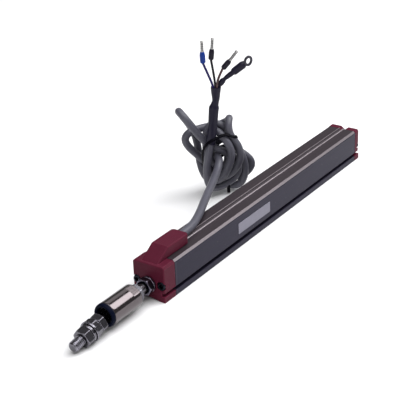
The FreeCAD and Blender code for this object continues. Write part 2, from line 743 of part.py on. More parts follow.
def cable_tie():
    """Tie around the hank: two straight sides and two half turns."""
    out = hank_point(0, 1, 0) - HANK_MIDDLE
    middle = hank_point(TIE_MIDDLE[0], 0, TIE_MIDDLE[1])
    tilt = math.radians(TIE_TILT)
    side = (hank_point(1, 0, 0) - HANK_MIDDLE) * math.cos(tilt) + Z_AXIS * math.sin(tilt)
    front = middle + out * TIE_BEND
    back = middle - out * TIE_BEND
    step = side * TIE_HALF
    path = Part.Wire([
        Part.LineSegment(front - step, front + step).toShape(),
        Part.Arc(front + step, middle + step + side * TIE_BEND, back + step).toShape(),
        Part.LineSegment(back + step, back - step).toShape(),
        Part.Arc(back - step, middle - step - side * TIE_BEND, front - step).toShape(),
    ])
    rim = Part.Wire(Part.Circle(front - step, side, TIE_R).toShape())
    return path.makePipeShell([rim], True, False)


def placed(shape, start, end):
    """Move a shape drawn along x so that it starts at one point and heads for another."""
    moved = shape.copy()
    moved.Placement = FreeCAD.Placement(start, FreeCAD.Rotation(X_AXIS, end - start))
    return moved


def sleeve_span():
    """Foot and top of the shrink sleeves, and the length between them."""
    foot = hank_point(*SLEEVE_FOOT)
    top = hank_point(*SLEEVE_TOP)
    return foot, top, (top - foot).Length


def lower_sleeve():
    """Shrink sleeve over the cable's end, drawn in to a waist."""
    foot, top, _ = sleeve_span()
    neck = [(WAIST_AT - SLEEVE_R, SLEEVE_R), (WAIST_AT - WAIST_LAND, WAIST_R), (WAIST_AT, WAIST_R)]
    return placed(turned([(0, 0), (0, SLEEVE_R)] + neck + [(WAIST_AT, 0)]), foot, top)


def upper_sleeve():
    """Second shrink sleeve, over the cores where they part."""
    foot, top, length = sleeve_span()
    neck = [(WAIST_AT, WAIST_R), (WAIST_AT + WAIST_LAND, WAIST_R), (WAIST_AT + SLEEVE_R, SLEEVE_R)]
    return placed(turned([(WAIST_AT, 0)] + neck + [(length, SLEEVE_R), (length, 0)]), foot, top)


def end_point(spot):
    """Point of the stripped end: across the hank, out of its face and above the sleeve's top."""
    return hank_point(spot[0], SLEEVE_TOP[1] + spot[1], SLEEVE_TOP[2] + spot[2])


def wire(colour):
    """Insulated core from the sleeve to its ferrule."""
    return tube([end_point(p) for p in WIRES[colour]], WIRE_R)


def ferrule_collar(colour):
    """Tapered plastic collar of a wire-end ferrule."""
    start, end, _ = [end_point(p) for p in FERRULES[colour]]
    long = (end - start).Length
    rear = [(0, 0), (0, FERRULE_COLLAR_R), (0.55 * long, FERRULE_COLLAR_R)]
    return placed(turned(rear + [(long, COLLAR_TIP_R), (long, 0)]), start, end)


def ferrule_pins():
    """Crimped metal pins of the three ferrules."""
    pins = []
    for spots in FERRULES.values():
        _, start, end = [end_point(p) for p in spots]
        long = (end - start).Length
        pins.append(placed(ring(0, long, FERRULE_PIN_R, 0), start, end))
    return Part.makeCompound(pins)


def screen_wire():
    """Cable screen in its own shrink sleeve, up to the ring terminal."""
    return tube([end_point(p) for p in SCREEN_ROUTE], SCREEN_R)


def ring_terminal():
    """Stamped ring terminal: a flat eye on a tongue."""
    start = end_point(SCREEN_ROUTE[-1])
    eye = end_point(LUG_EYE)
    reach = (eye - start).Length
    disc = Part.makeCylinder(LUG_R, LUG_THICK, V(reach, -LUG_THICK / 2, 0), Y_AXIS)
    tongue = Part.makeBox(reach, LUG_THICK, LUG_TONGUE, V(0, -LUG_THICK / 2, -LUG_TONGUE / 2))
    hole = Part.makeCylinder(LUG_HOLE_R, LUG_THICK + 2, V(reach, -LUG_THICK / 2 - 1, 0), Y_AXIS)
    lug = disc.fuse(tongue).cut(hole).removeSplitter()
    out = hank_point(0, 1, 0) - HANK_MIDDLE
    heading = (eye - start).normalize()
    upward = heading.cross(out)
    frame = FreeCAD.Matrix(
        heading.x, out.x, upward.x, start.x,
        heading.y, out.y, upward.y, start.y,
        heading.z, out.z, upward.z, start.z,
        0, 0, 0, 1,
    )
    lug.Placement = FreeCAD.Placement(frame)
    return lug


def parts():
    """Every piece of the sensor by name."""
    return {
        "profile_housing": profile_housing(),
        "front_cap": front_cap(),
        "rear_cap": rear_cap(),
        "front_gasket": gasket(PROFILE_FRONT),
        "rear_gasket": gasket(PROFILE_BACK - GASKET),
        "front_screws": cap_screws(-FRONT_SINK, 1, PROFILE_FRONT - SCREW_GRIP),
        "rear_screws": cap_screws(REAR_SINK - HOUSING, -1, PROFILE_BACK + SCREW_GRIP),
        "rod_bush": rod_bush(),
        "rod_wiper_seal": rod_wiper_seal(),
        "front_bumper": bumper(-FRONT_CAP - BUMPER),
        "rear_bumper": bumper(REAR_CAP - HOUSING),
        "inner_leads": inner_leads(),
        "track_board": track_board(),
        "track_layers": track_layers(),
        "board_terminals": board_terminals(),
        "wiper_carriage": wiper_carriage(),
        "wiper_contacts": wiper_contacts(),
        "push_rod": push_rod(),
        "rod_clip": rod_clip(),
        "jam_nut": on_rod(hexagon(JAM_BACK, COUPLING_BACK, NUT_FLATS, JAM_TURN, ROD_R + SEAT_GAP)),
        "coupling_body": coupling_body(),
        "seat_spring": seat_spring(),
        "rear_seat": rear_seat(),
        "front_seat": front_seat(),
        "retaining_ring": retaining_ring(),
        "dust_boot": dust_boot(),
        "ball": ball(),
        "stud": stud(),
        "stud_clip": stud_clip(),
        "lock_nut": nut(LOCK_NUT, LOCK_NUT_TURN),
        "flat_washer": on_stud(ring(WASHER[0], WASHER[1], WASHER_R, STUD_R + WASHER_GAP)),
        "lock_washer": lock_washer(),
        "clamp_nut": nut(CLAMP_NUT, CLAMP_NUT_TURN),
        "cable_lead": cable_lead(),
        "cable_coil": cable_coil(),
        "cable_tie": cable_tie(),
        "lower_sleeve": lower_sleeve(),
        "upper_sleeve": upper_sleeve(),
        "wire_blue": wire("blue"),
        "wire_black": wire("black"),
        "wire_brown": wire("brown"),
        "screen_wire": screen_wire(),
        "ferrule_collar_blue": ferrule_collar("blue"),
        "ferrule_collar_black": ferrule_collar("black"),
        "ferrule_collar_brown": ferrule_collar("brown"),
        "ferrule_pins": ferrule_pins(),
        "ring_terminal": ring_terminal(),
    }


os.makedirs("parts", exist_ok=True)
for node, shape in parts().items():
    moved = shape.translated(V(FRONT_X, 0, 0))
    print(node, "valid", moved.isValid(), "solids", len(moved.Solids), "volume", round(moved.Volume, 2))
    moved.exportStep("parts/" + node + ".step")
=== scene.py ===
"""Looks of a rod-type linear position sensor: finishes for its machined, moulded and inner pieces,
turned and threaded fittings, the tied signal cable with its stripped end, and the studio that shows them."""
import json
import math
import bpy
import numpy as np
from bpy.props import FloatProperty, FloatVectorProperty, PointerProperty
from mathutils import Matrix, Vector


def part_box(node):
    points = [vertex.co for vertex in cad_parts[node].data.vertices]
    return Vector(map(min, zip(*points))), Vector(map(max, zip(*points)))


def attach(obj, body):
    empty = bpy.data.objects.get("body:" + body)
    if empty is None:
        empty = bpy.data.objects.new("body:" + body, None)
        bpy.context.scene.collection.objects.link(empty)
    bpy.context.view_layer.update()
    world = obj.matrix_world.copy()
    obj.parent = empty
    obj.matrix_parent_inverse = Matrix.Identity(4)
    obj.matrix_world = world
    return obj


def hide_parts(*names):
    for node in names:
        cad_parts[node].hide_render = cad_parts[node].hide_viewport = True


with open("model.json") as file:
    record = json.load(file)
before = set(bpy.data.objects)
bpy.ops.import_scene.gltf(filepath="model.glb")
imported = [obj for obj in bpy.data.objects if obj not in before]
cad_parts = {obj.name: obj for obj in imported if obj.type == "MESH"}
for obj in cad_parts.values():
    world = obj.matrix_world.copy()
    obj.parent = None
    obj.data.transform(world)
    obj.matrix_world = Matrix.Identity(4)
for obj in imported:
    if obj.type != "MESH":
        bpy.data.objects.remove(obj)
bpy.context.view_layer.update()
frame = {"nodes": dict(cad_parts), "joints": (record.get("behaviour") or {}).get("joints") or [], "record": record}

bl_info = {
    "name": "Linear position sensor",
    "version": (1, 0, 0),
    "blender": (4, 5, 0),
    "location": "3D View > Sidebar > Sensor",
    "description": "Dresses the packed model of a rod-type linear position sensor",
    "category": "Object",
}

# Shapes are worked out in millimetres and stored in metres
MM = 0.001
# Radius at which a turned outline ends beside its axis
ON_AXIS = 0.01

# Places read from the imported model
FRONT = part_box("front_cap")[1].x / MM
JOINTS = {joint["name"]: joint for joint in frame["joints"]}
SLOT_OF = {part["node"]: part["material_slot"] for part in frame["record"]["subparts"]}
X_AXIS = np.array([1.0, 0.0, 0.0])
Y_AXIS = np.array([0.0, 1.0, 0.0])
Z_AXIS = np.array([0.0, 0.0, 1.0])

# Housing's section, and the bands that its finish tells apart, among them painted highlight and shade
PROFILE_TOP = 18.0
TOP_CHAMFER = 1.2
CHAMFER_BAND = 0.95
SLOT_HALF = 1.0
WALL_SHADE = 0.2
END_BAND = 1.1
FACE_SKIN = 0.08
# How fast an edge's mask grows as the softened normal leaves the face's own (abrasion and painted highlight)
EDGE_GAIN = 6.0

# Wedge in the rear cap's notch, as distance from the middle and height; it stops this far inside the back
NOTCH_WEDGE = [(0.3, 15.8), (2.4, 15.8), (2.4, 17.7), (0.3, 16.15)]
NOTCH_SETBACK = 0.35

# Wall beside a front screw's pocket, as distance from the middle and height; its span from the cap's face
POCKET_WALL = [(8.66, 6.8), (8.72, 6.8), (8.72, 9.6), (8.66, 9.6)]
POCKET_SPAN = (-0.9, -3.05)

# Cap screws: seat and shank end from the front cap's face, and the head's height
SCREW_ASIDE = 6.7
SCREW_HEIGHT = 8.2
SCREWS = {"front_screws": (-3.0, -14.6, 3.25), "rear_screws": (-185.6, -177.2, 2.2)}
# Shank, its point's length and end radius, and the head; the crown is depth below the top and step inward
SHANK_RADIUS = 0.98
SHANK_POINT = (0.3, 0.7)
HEAD_RADIUS = 1.98
HEAD_EDGE = 0.1
HEAD_CROWN = [(0.4, 0.0), (0.35, 0.0), (0.12, 0.1), (0.0, 0.3)]
SOCKET_FLATS = 2.0
SOCKET_DEEP = 1.3
SOCKET_EDGE = 0.12
KNURLS = 30
KNURL_HIGH = 0.04
KNURL_STOP = 0.38

# Coupling and rod fittings, along the rod from the front cap's face
BUSH_SPAN = (-7.8, 0.0, 1.2, 4.4)
BUSH_RADII = (3.3, 3.9)
BUSH_FLATS = 7.6
BUSH_BORE = 2.54
SEAL_POCKET = (2.6, 3.1)
ROD_RADIUS = 2.5
JAM_SPAN = (8.8, 11.5)
NUT_FLATS = 8.0
# Countersink of a nut's bore, and how gently a hexagon's sides pass into its chamfer cone
NUT_LEAD = 0.35
CORNER_BLEND = 0.08
JAM_TURN = 36.0
COUPLING_SPAN = (11.5, 30.5)
COUPLING_RADIUS = 5.6
COUPLING_SHOULDER = 1.3
COUPLING_BORE = 4.4
BORE_FLOOR = 19.3
WRENCH_HALF = 4.85
WRENCH_LONG = 5.0
WRENCH_TURN = 66.0
BOOT_SPAN = (30.0, 32.4)
BOOT_LIP = 3.8

# Stud and its fittings, along the stud from the ball's centre
STUD_TAIL = -3.9
STUD_JOURNAL = 2.95
STUD_RADII = {"tail": 1.5, "journal": 1.9, "neck": 2.05, "root": 2.07, "thread": 2.5}
STUD_HEX = (8.5, 12.0)
STUD_HEX_TURN = -6.0
LOCK_NUT = (12.0, 15.2)
LOCK_NUT_TURN = 11.0
WASHER = (15.2, 16.2)
WASHER_RADII = (2.65, 4.9)
SPLIT_WASHER = (16.2, 17.8)
SPLIT_RADII = (2.65, 4.35)
SPLIT_START = 155.0
SPLIT_SWEEP = 346.0
SPLIT_CLIMB = 0.3
CLAMP_NUT = (17.8, 21.8)
CLAMP_NUT_TURN = -7.0
STUD_END = 27.5
STUD_TIP = 1.9
TIP_LONG = 0.6
THREAD_START = CLAMP_NUT[1] - 0.6
THREAD_RUN_IN = 0.3

# Lead of the cable from the front cap's face, and the hank's own frame
LEAD_ROUTE = [
    (-18.0, 0.0, 20.6),
    (-33.0, 0.0, 20.6),
    (-48.0, -5.2, 20.2),
    (-64.0, -12.6, 20.2),
    (-80.4, -19.5, 20.2),
    (-94.4, -25.6, 20.6),
    (-100.1, -27.9, 23.5),
]
HANK_MIDDLE = (-107.0, -32.0, 20.6)
HANK_FACING = math.radians(35.5)
TURN_STEP = 27.0
# Rounds of settling, the shares of push, evening and pull in each, and diameters that count as one strand
SETTLE_ROUNDS = 160
SETTLE_PUSH = 0.5
SETTLE_EVEN = 0.05
SETTLE_PULL = 0.02
SAME_STRAND = 2.5
# Places of the tie round the hank and of its loose end, in the hank's own frame
TIE_ROUTE = [
    (7.2, 2.4, 12.8), (5.9, 4.4, 15.0), (3.8, 4.8, 16.8), (1.5, 5.4, 16.5), (-1.1, 6.4, 15.6),
    (-3.8, 7.4, 14.6), (-6.4, 7.6, 13.4), (-8.3, 6.2, 10.8), (-9.3, 4.6, 7.5), (-9.6, 3.4, 4.2),
    (-9.5, 2.2, 0.3), (-9.2, 0.4, -2.8), (-8.6, -4.5, -5.5), (-6.0, -10.0, -6.5), (0.0, -12.4, -4.0),
    (6.0, -12.0, 1.0), (8.8, -8.0, 5.0), (8.4, -1.6, 10.4),
]
TIE_END = [(3.2, -2.0, -13.0), (3.5, 0.0, -14.2), (3.8, 0.6, -15.6), (4.0, 0.0, -17.6), (4.1, -0.7, -19.7)]
TIE_STEPS = 200
TIE_ROUNDS = 60
TIE_PRESS = 0.5

# Stripped end: the sleeves' axis, waist and radius along it, then cores, ferrules and lug
SLEEVE_FOOT = (-4.9, 4.2, 11.4)
SLEEVE_TOP = (-1.4, 4.0, 42.3)
WAIST_AT = 21.5
SLEEVE_GIRTH = ([0.0, 17.5, 20.2, 21.5, 23.5, 26.5, 30.5], [2.6, 2.6, 2.65, 2.05, 1.75, 2.1, 2.55])
SLEEVE_SWAY = 0.45
SWAY_LONG = 3.0
# Shallow folds as height, count round the sleeve, turn along it and start
SLEEVE_FOLDS = [(0.05, 2, 0.16, 0.0), (0.035, 3, -0.4, 1.0)]
CORE_RADIUS = 0.62
SCREEN_GIRTH = (
    [0.0, 0.12, 0.22, 0.32, 0.40, 0.46, 0.60, 0.64, 0.70, 0.94, 1.0],
    [0.9, 1.0, 1.5, 1.5, 0.95, 1.2, 1.35, 1.3, 1.95, 2.05, 1.2],
)
PIN_RADIUS = 0.82
PIN_ROOT = 0.4
# Crimped stretch of a pin: margins at its root and tip, its ease, ridges and squareness
CRIMP_MARGINS = (0.8, 0.5)
CRIMP_EASE = 0.5
CRIMP_PITCH = 1.1
CRIMP_RIDGE = 0.08
CRIMP_SQUARE = 0.10
CRIMP_PRESS = 0.06
LUG_EYE = (15.3, -0.6, 13.2)
LUG_RADII = (1.45, 2.75)
LUG_THICK = 0.9
LUG_TURN = 38.0
WIRES = {
    "wire_blue": [(-2.7, 0.5, -1.5), (-2.9, 0.5, 1.0), (-4.6, 0.5, 5.5), (-7.6, 0.5, 13.2)],
    "wire_black": [(-1.75, -1.0, -1.5), (-1.75, -1.0, 1.0), (-2.2, -1.0, 6.0), (-3.5, -1.0, 14.4)],
    "wire_brown": [(-1.2, 0.9, -1.5), (-1.0, 0.9, 1.0), (-0.1, 0.9, 5.4), (2.3, 0.9, 10.1)],
    "screen_wire": [
        (-0.6, -0.6, -1.5), (0.1, -0.6, 0.5), (2.8, -0.6, 4.0), (6.8, -0.6, 6.9), (10.9, -0.6, 10.0),
        (14.1, -0.6, 12.4),
    ],
}
FERRULES = {
    "blue": [(-7.6, 0.5, 13.2), (-7.9, 0.5, 19.3), (-7.9, 0.5, 24.6)],
    "black": [(-3.5, -1.0, 14.4), (-2.9, -1.0, 20.1), (-2.5, -1.0, 25.5)],
    "brown": [(2.3, 0.9, 10.1), (6.0, 0.9, 14.4), (9.6, 0.9, 19.0)],
}

# Bare plate on the labelled side: place from the front cap's face, thickness and corner radius
LABEL_BACK = -90.2
LABEL_LOW = 7.6
LABEL_THICK = 0.16
LABEL_CORNER = 0.5

# Studio: half the floor's side, the point that the panels face, each panel's place, width, height and power
FLOOR_HALF = 6.0
LIGHT_AIM = (0.02, 0.0, 0.02)
LIGHTS = {
    "key": ((0.10, 0.30, 1.5), 1.6, 1.6, 27.0),
    "window": ((-0.464, 0.28, 0.586), 0.5, 0.5, 4.3),
    "back": ((-0.464, -0.383, 0.527), 0.45, 0.3, 0.35),
    "fill": ((0.90, 0.12, 0.25), 0.5, 0.5, 1.3),
}
SURROUND = 0.2

# Camera as found from the photograph's long edges, from the front cap's face
EYE = (329.1, 264.2, 252.1)
AZIMUTH = 2.18962
ELEVATION = 0.450287
ROLL = -0.037546
FOCAL_PIXELS = 1082.56
PICTURE_PIXELS = 400
FILM_WIDTH = 36.0


def size_of(label, description, default, least, most):
    """Length property in metres with its name, description, default and range."""
    return FloatProperty(
        name=label, description=description, default=default, min=least, max=most,
        unit="LENGTH", precision=5)


class SensorSizes(bpy.types.PropertyGroup):
    """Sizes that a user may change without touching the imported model."""
    cable_diameter: size_of("Cable diameter", "Outer diameter of the signal cable", 0.0041, 0.001, 0.01)
    tie_width: size_of("Tie width", "Width of the band around the hank", 0.0018, 0.0005, 0.004)
    tie_thickness: size_of("Tie thickness", "Thickness of the band around the hank", 0.0008, 0.0003, 0.002)
    thread_pitch: size_of(
        "Thread pitch", "Distance from one thread crest on the stud to the next", 0.0008, 0.0003, 0.002)
    label_length: size_of("Label length", "Length of the bare plate along the housing", 0.0293, 0.005, 0.08)
    label_height: size_of("Label height", "Height of the bare plate", 0.0056, 0.002, 0.009)
    edge_softness: size_of(
        "Edge softness", "Radius that softens the light on machined and moulded edges", 0.0002, 0.0, 0.001)


def colour(label, description, default):
    """Colour property with its name, description and default."""
    return FloatVectorProperty(
        name=label, description=description, default=default, min=0.0, max=1.0, size=3, subtype="COLOR")


class SensorColours(bpy.types.PropertyGroup):
    """Colours of the finishes, in linear light."""
    anodised: colour("Anodised grey", "Extruded housing", (0.0150, 0.0128, 0.0275))
    # Cut metal colour that also paints highlight on the housing's chamfers and slot lips
    cut: colour("Rubbed edges", "Chamfers and slot lips of the housing", (0.17, 0.15, 0.162))
    # Top faces: polish and a painted sheen
    top_rubbing_and_sheen: colour("Rubbed top", "Top faces of the housing", (0.050, 0.039, 0.046))
    foil: colour("Foil", "Bare label plate", (0.235, 0.228, 0.275))
    maroon: colour("Maroon plastic", "Moulded caps", (0.080, 0.0085, 0.0225))
    nickel: colour("Nickel", "Turned coupling", (0.129, 0.112, 0.117))
    steel: colour("Steel", "Nuts, washers and bush", (0.128, 0.124, 0.142))
    jacket: colour("Cable jacket", "Signal cable", (0.069, 0.068, 0.090))
    shrink: colour("Shrink sleeve", "Sleeves on the cable's end", (0.010, 0.0085, 0.022))
    blue: colour("Blue collar", "Blue core's collar", (0.004, 0.031, 0.22))
    brown: colour("Brown core", "Brown core", (0.045, 0.014, 0.016))
    floor: colour("Floor", "Studio floor", (0.86, 0.86, 0.87))


class Value:
    """Number on a shader socket. Arithmetic on it adds the Math nodes that work it out."""

    def __init__(self, finish, socket):
        self.finish = finish
        self.socket = socket

    def math(self, operation, *numbers):
        """Math node of one operation on these numbers or values, in their order."""
        inputs = dict(enumerate(numbers))
        return self.finish.node("ShaderNodeMath", {"operation": operation}, inputs)

    def __add__(self, other):
        return self.math("ADD", self, other)

    def __radd__(self, other):
        return self.math("ADD", other, self)

    def __sub__(self, other):
        return self.math("SUBTRACT", self, other)

    def __rsub__(self, other):
        return self.math("SUBTRACT", other, self)

    def __mul__(self, other):
        return self.math("MULTIPLY", self, other)

    def __rmul__(self, other):
        return self.math("MULTIPLY", other, self)

    def __abs__(self):
        return self.math("ABSOLUTE", self)

    def __gt__(self, other):
        return self.math("GREATER_THAN", self, other)

    def __lt__(self, other):
        return self.math("LESS_THAN", self, other)

    def or_more(self, other):
        """Greater of two values."""
        return self.math("MAXIMUM", self, other)


class Finish:
    """One procedural material: its nodes, its shader, and short ways to the patterns that finishes share."""

    def __init__(self, name, constants):
        self.material = bpy.data.materials.new(name)
        self.material.use_nodes = True
        self.tree = self.material.node_tree
        self.shader = self.tree.nodes["Principled BSDF"]
        for socket, value in constants.items():
            self.shader.inputs[socket].default_value = value

    def node(self, kind, settings, inputs, output=0):
        """Add a node: its settings first, then the values or links of its sockets. Gives one output."""
        made = self.tree.nodes.new(kind)
        for key, value in settings.items():
            if key == "stops":
                self.set_stops(made.color_ramp, value)
            else:
                setattr(made, key, value)
        for key, value in inputs.items():
            if isinstance(value, Value):
                self.tree.links.new(value.socket, made.inputs[key])
            else:
                made.inputs[key].default_value = value
        return Value(self, made.outputs[output])

    def set_stops(self, ramp, stops):
        """Places and grey levels of a ramp's two stops."""
        for element, (place, level) in zip(ramp.elements, stops):
            element.position = place
            element.color = (level, level, level, 1.0)

    def place(self, stretch=(1.0, 1.0, 1.0)):
        """Object coordinates, stretched along each axis."""
        where = self.node("ShaderNodeTexCoord", {}, {}, "Object")
        return self.node("ShaderNodeMapping", {}, {"Vector": where, "Scale": stretch})

    def axis(self, name):
        """One of the object's own coordinates, in metres."""
        where = self.node("ShaderNodeTexCoord", {}, {}, "Object")
        return self.node("ShaderNodeSeparateXYZ", {}, {"Vector": where}, name)

    def noise(self, scale, stretch=(1.0, 1.0, 1.0), detail=3.0):
        """Noise with that many features to a metre, from 0 to 1."""
        sockets = {"Vector": self.place(stretch), "Scale": scale, "Detail": detail}
        return self.node("ShaderNodeTexNoise", {}, sockets, "Fac")

    def ramp(self, value, low, high):
        """Value spread so that low becomes 0 and high becomes 1."""
        return self.node("ShaderNodeValToRGB", {"stops": [(low, 0.0), (high, 1.0)]}, {"Fac": value})

    def mix(self, mask, first, second):
        """Colour that goes from first to second with the mask."""
        ends = [end if isinstance(end, Value) else (*end, 1.0) for end in (first, second)]
        return self.node("ShaderNodeMix", {"data_type": "RGBA"}, {0: mask, 6: ends[0], 7: ends[1]}, 2)

    def soft_edge(self, radius):
        """Normal that rounds sharp edges by a radius."""
        return self.node("ShaderNodeBevel", {"samples": 4}, {"Radius": radius})

    def edge_mask(self, radius):
        """1 on sharp edges, 0 on open faces: how far the rounded normal leaves the face's own."""
        soft = self.soft_edge(radius)
        face = self.node("ShaderNodeNewGeometry", {}, {}, "Normal")
        sockets = {0: soft, 1: face}
        alike = self.node("ShaderNodeVectorMath", {"operation": "DOT_PRODUCT"}, sockets, "Value")
        return self.node("ShaderNodeClamp", {}, {"Value": (1.0 - alike) * EDGE_GAIN})

    def bump(self, height, distance, radius=0.0):
        """Normal from a height in metres of relief, over softened edges where a radius is given."""
        sockets = {"Height": height, "Distance": distance, "Strength": 1.0}
        if radius:
            sockets["Normal"] = self.soft_edge(radius)
        return self.node("ShaderNodeBump", {}, sockets)

    def feed(self, **links):
        """Link values to the shader; words of a socket's name are joined by an underscore."""
        for name, value in links.items():
            self.tree.links.new(value.socket, self.shader.inputs[name.replace("_", " ")])
        return self.material


def shade(rgb, factor):
    """Colour made lighter or darker by a factor."""
    return tuple(min(1.0, channel * factor) for channel in rgb)


def anodised_finish(colours, sizes):
    """Satin anodised extrusion: die lines, specks, and lighter chamfers, lips, top and edges that are partly
    painted light.

    A chamfer is where |y| + z is nearly its greatest: the whole chamfer is painted darker as shade, so its lowest
    strip stays dark, and its upper band takes the cut colour as cut metal and a painted highlight. A lip is what
    stands above the flat top; lips and the slot's walls below their upper strip are lighter as polished metal and
    a painted highlight. The top faces are lighter by polish and a painted sheen, the edges by abrasion and a
    painted highlight.
    """
    finish = Finish("grey_anodised", {"Metallic": 0.6, "Specular IOR Level": 0.25})
    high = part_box("profile_housing")[1]
    top = PROFILE_TOP * MM
    skin = FACE_SKIN * MM
    grey = colours.anodised
    lines = finish.noise(2600.0, (0.006, 1.0, 1.0), 4.0)
    cloud = finish.noise(60.0, (0.3, 1.0, 1.0), 2.0)
    specks = finish.ramp(finish.noise(900.0, detail=1.0), 0.74, 0.80)
    height = finish.axis("Z")
    aside = abs(finish.axis("Y"))
    chamfer = aside + height > high.y + top - (TOP_CHAMFER + FACE_SKIN) * MM
    band = chamfer * (height > top - CHAMFER_BAND * MM)
    wall = (aside < SLOT_HALF * MM + skin) * (height < top - WALL_SHADE * MM)
    lip = (height > top + skin).or_more(wall)
    flat_top = (height > top - skin) * (aside < high.y - TOP_CHAMFER * MM)
    end_band = finish.axis("X") > high.x - END_BAND * MM
    # Streaks along the die lines in the cut colour and painted highlight of the chamfer band and lips
    rubbing_and_highlight_streaks = 0.75 + 0.4 * lines
    base = finish.mix(cloud, shade(grey, 0.86), shade(grey, 1.14))
    streaked = finish.mix(finish.ramp(lines, 0.35, 0.75), base, shade(grey, 1.35))
    # Top faces lighter and browner than the sides: polish and a painted sheen from the light above
    rubbing_and_highlight = finish.mix(flat_top * (0.7 + 0.5 * lines), streaked, colours.top_rubbing_and_sheen)
    # Edges lighter: abrasion and a painted highlight
    edge_wear_and_highlight = finish.mix(finish.edge_mask(sizes.edge_softness) * 0.6, rubbing_and_highlight, shade(grey, 2.2))
    marked = finish.mix((specks * 0.35).or_more(end_band * 0.08), edge_wear_and_highlight, colours.cut)
    # Painted shade: the chamfer darkened, so its lowest strip stays dark below the band
    chamfer_painted_shade = finish.mix(chamfer * 0.6, marked, shade(grey, 0.35))
    # Upper chamfer band: cut metal and a painted highlight, streaked along the die lines
    chamfer_cut_and_highlight = finish.mix(band * rubbing_and_highlight_streaks, chamfer_painted_shade, colours.cut)
    # Lips and the slot's walls: polished metal and a painted highlight
    wear_and_highlight = finish.mix(lip * rubbing_and_highlight_streaks, chamfer_cut_and_highlight, shade(colours.cut, 1.5))
    normal = finish.bump(lines, 0.00002, sizes.edge_softness)
    return finish.feed(Base_Color=wear_and_highlight, Roughness=0.40 + 0.12 * lines, Normal=normal)


def moulded_finish(colours, sizes):
    """Moulded maroon plastic: spark-eroded grain, soft cloudiness, and paler edges of scuffs and painted
    highlight.
    """
    finish = Finish("maroon_plastic", {"Specular IOR Level": 0.09})
    grain = finish.noise(5200.0, detail=2.0)
    cloud = finish.noise(240.0)
    edge = finish.edge_mask(sizes.edge_softness * 1.8)
    base = finish.mix(cloud, shade(colours.maroon, 0.86), shade(colours.maroon, 1.12))
    # Painted highlight: edges 2.6 times paler, with some scuffing
    rubbing_and_highlight = finish.mix(edge, base, shade(colours.maroon, 2.6))
    normal = finish.bump(grain, 0.00005, sizes.edge_softness * 1.8)
    return finish.feed(Base_Color=rubbing_and_highlight, Roughness=0.42 + 0.16 * cloud, Normal=normal)


def metal_finish(name, sizes, rgb, rough, edge_wear_and_glint=1.6, edge_reach=0.8, marks_along=(1.0, 0.05, 0.05)):
    """Bare or plated metal: tool marks stretched the way the piece was cut, faint tarnish and lighter edges.

    The edges' factor is how much lighter they are, partly abrasion and partly a painted highlight, and
    edge_reach how many times the edge softness they are wide.
    """
    finish = Finish(name, {"Metallic": 1.0})
    marks = finish.noise(3000.0, marks_along, 2.0)
    cloud = finish.noise(420.0)
    edge = finish.edge_mask(sizes.edge_softness * edge_reach)
    base = finish.mix(cloud, shade(rgb, 0.92), shade(rgb, 1.06))
    # Edges lightened by the factor: abrasion, and a painted highlight where light would catch them
    wear_and_highlight = finish.mix(edge, base, shade(rgb, edge_wear_and_glint))
    normal = finish.bump(marks, 0.000006, sizes.edge_softness * 0.8)
    return finish.feed(Base_Color=wear_and_highlight, Roughness=rough * (0.85 + 0.3 * marks), Normal=normal)


def soft_finish(name, rgb, rough, gloss=0.5, grain_scale=3000.0, relief=0.00003):
    """Rubber, nylon or cable plastic: a mottled colour under a fine grain. Gloss is the specular level."""
    finish = Finish(name, {"Specular IOR Level": gloss})
    grain = finish.noise(grain_scale, detail=2.0)
    cloud = finish.noise(180.0)
    base = finish.mix(cloud, shade(rgb, 0.82), shade(rgb, 1.18))
    normal = finish.bump(grain, relief)
    return finish.feed(Base_Color=base, Roughness=rough * (0.85 + 0.3 * grain), Normal=normal)


def make_finishes(colours, sizes):
    """Finish for each of the record's material slots, and for the pieces that have one of their own."""
    plain, dull, matt = 0.5, 0.2, 0.05
    soft = {
        "black_rubber": ((0.0018, 0.0032, 0.013), 0.5, matt),
        "nylon": ((0.012, 0.012, 0.014), 0.45),
        "board_laminate": ((0.11, 0.075, 0.03), 0.35),
        "conductive_track": ((0.02, 0.02, 0.022), 0.3),
        "cable_grey": (colours.jacket, 0.46, plain, 1800.0, 0.00004),
        "tie_black": ((0.0012, 0.0010, 0.0032), 0.5, matt),
        "shrink_black": (colours.shrink, 0.36, dull, 900.0, 0.00006),
        "core_grey": ((0.05, 0.05, 0.055), 0.4),
        "wire_blue": ((0.012, 0.008, 0.085), 0.32, dull),
        "wire_black": ((0.008, 0.008, 0.013), 0.32, dull),
        "wire_brown": (colours.brown, 0.32),
        "collar_blue": (colours.blue, 0.28, dull),
        "collar_black": ((0.008, 0.006, 0.015), 0.28, dull),
    }
    # Metals: colour, roughness, edge lightening (abrasion and painted highlight), edge reach, marks' stretch
    metal = {
        "black_steel": ((0.014, 0.015, 0.022), 0.34, 2.5),
        "bright_steel": (colours.steel, 0.17, 5.2, 1.7),
        "ground_rod": ((0.14, 0.135, 0.15), 0.24),
        "nickel": (colours.nickel, 0.14, 1.8),
        "spring_steel": ((0.12, 0.12, 0.13), 0.3),
        "contact_brass": ((0.62, 0.44, 0.17), 0.25),
        "tinned_copper": ((0.30, 0.295, 0.29), 0.26, 2.4),
        "dark_tin": ((0.05, 0.048, 0.06), 0.3, 2.0),
        "black_bush": ((0.068, 0.062, 0.085), 0.3, 13.0, 2.2),
        "label_foil": (colours.foil, 0.5, 1.6, 0.8, (0.02, 1.0, 1.0)),
    }
    finishes = {
        "grey_anodised": anodised_finish(colours, sizes),
        "maroon_plastic": moulded_finish(colours, sizes),
    }
    finishes.update({name: soft_finish(name, *look) for name, look in soft.items()})
    finishes.update({name: metal_finish(name, sizes, *look) for name, look in metal.items()})
    return finishes


FINISHES = {}


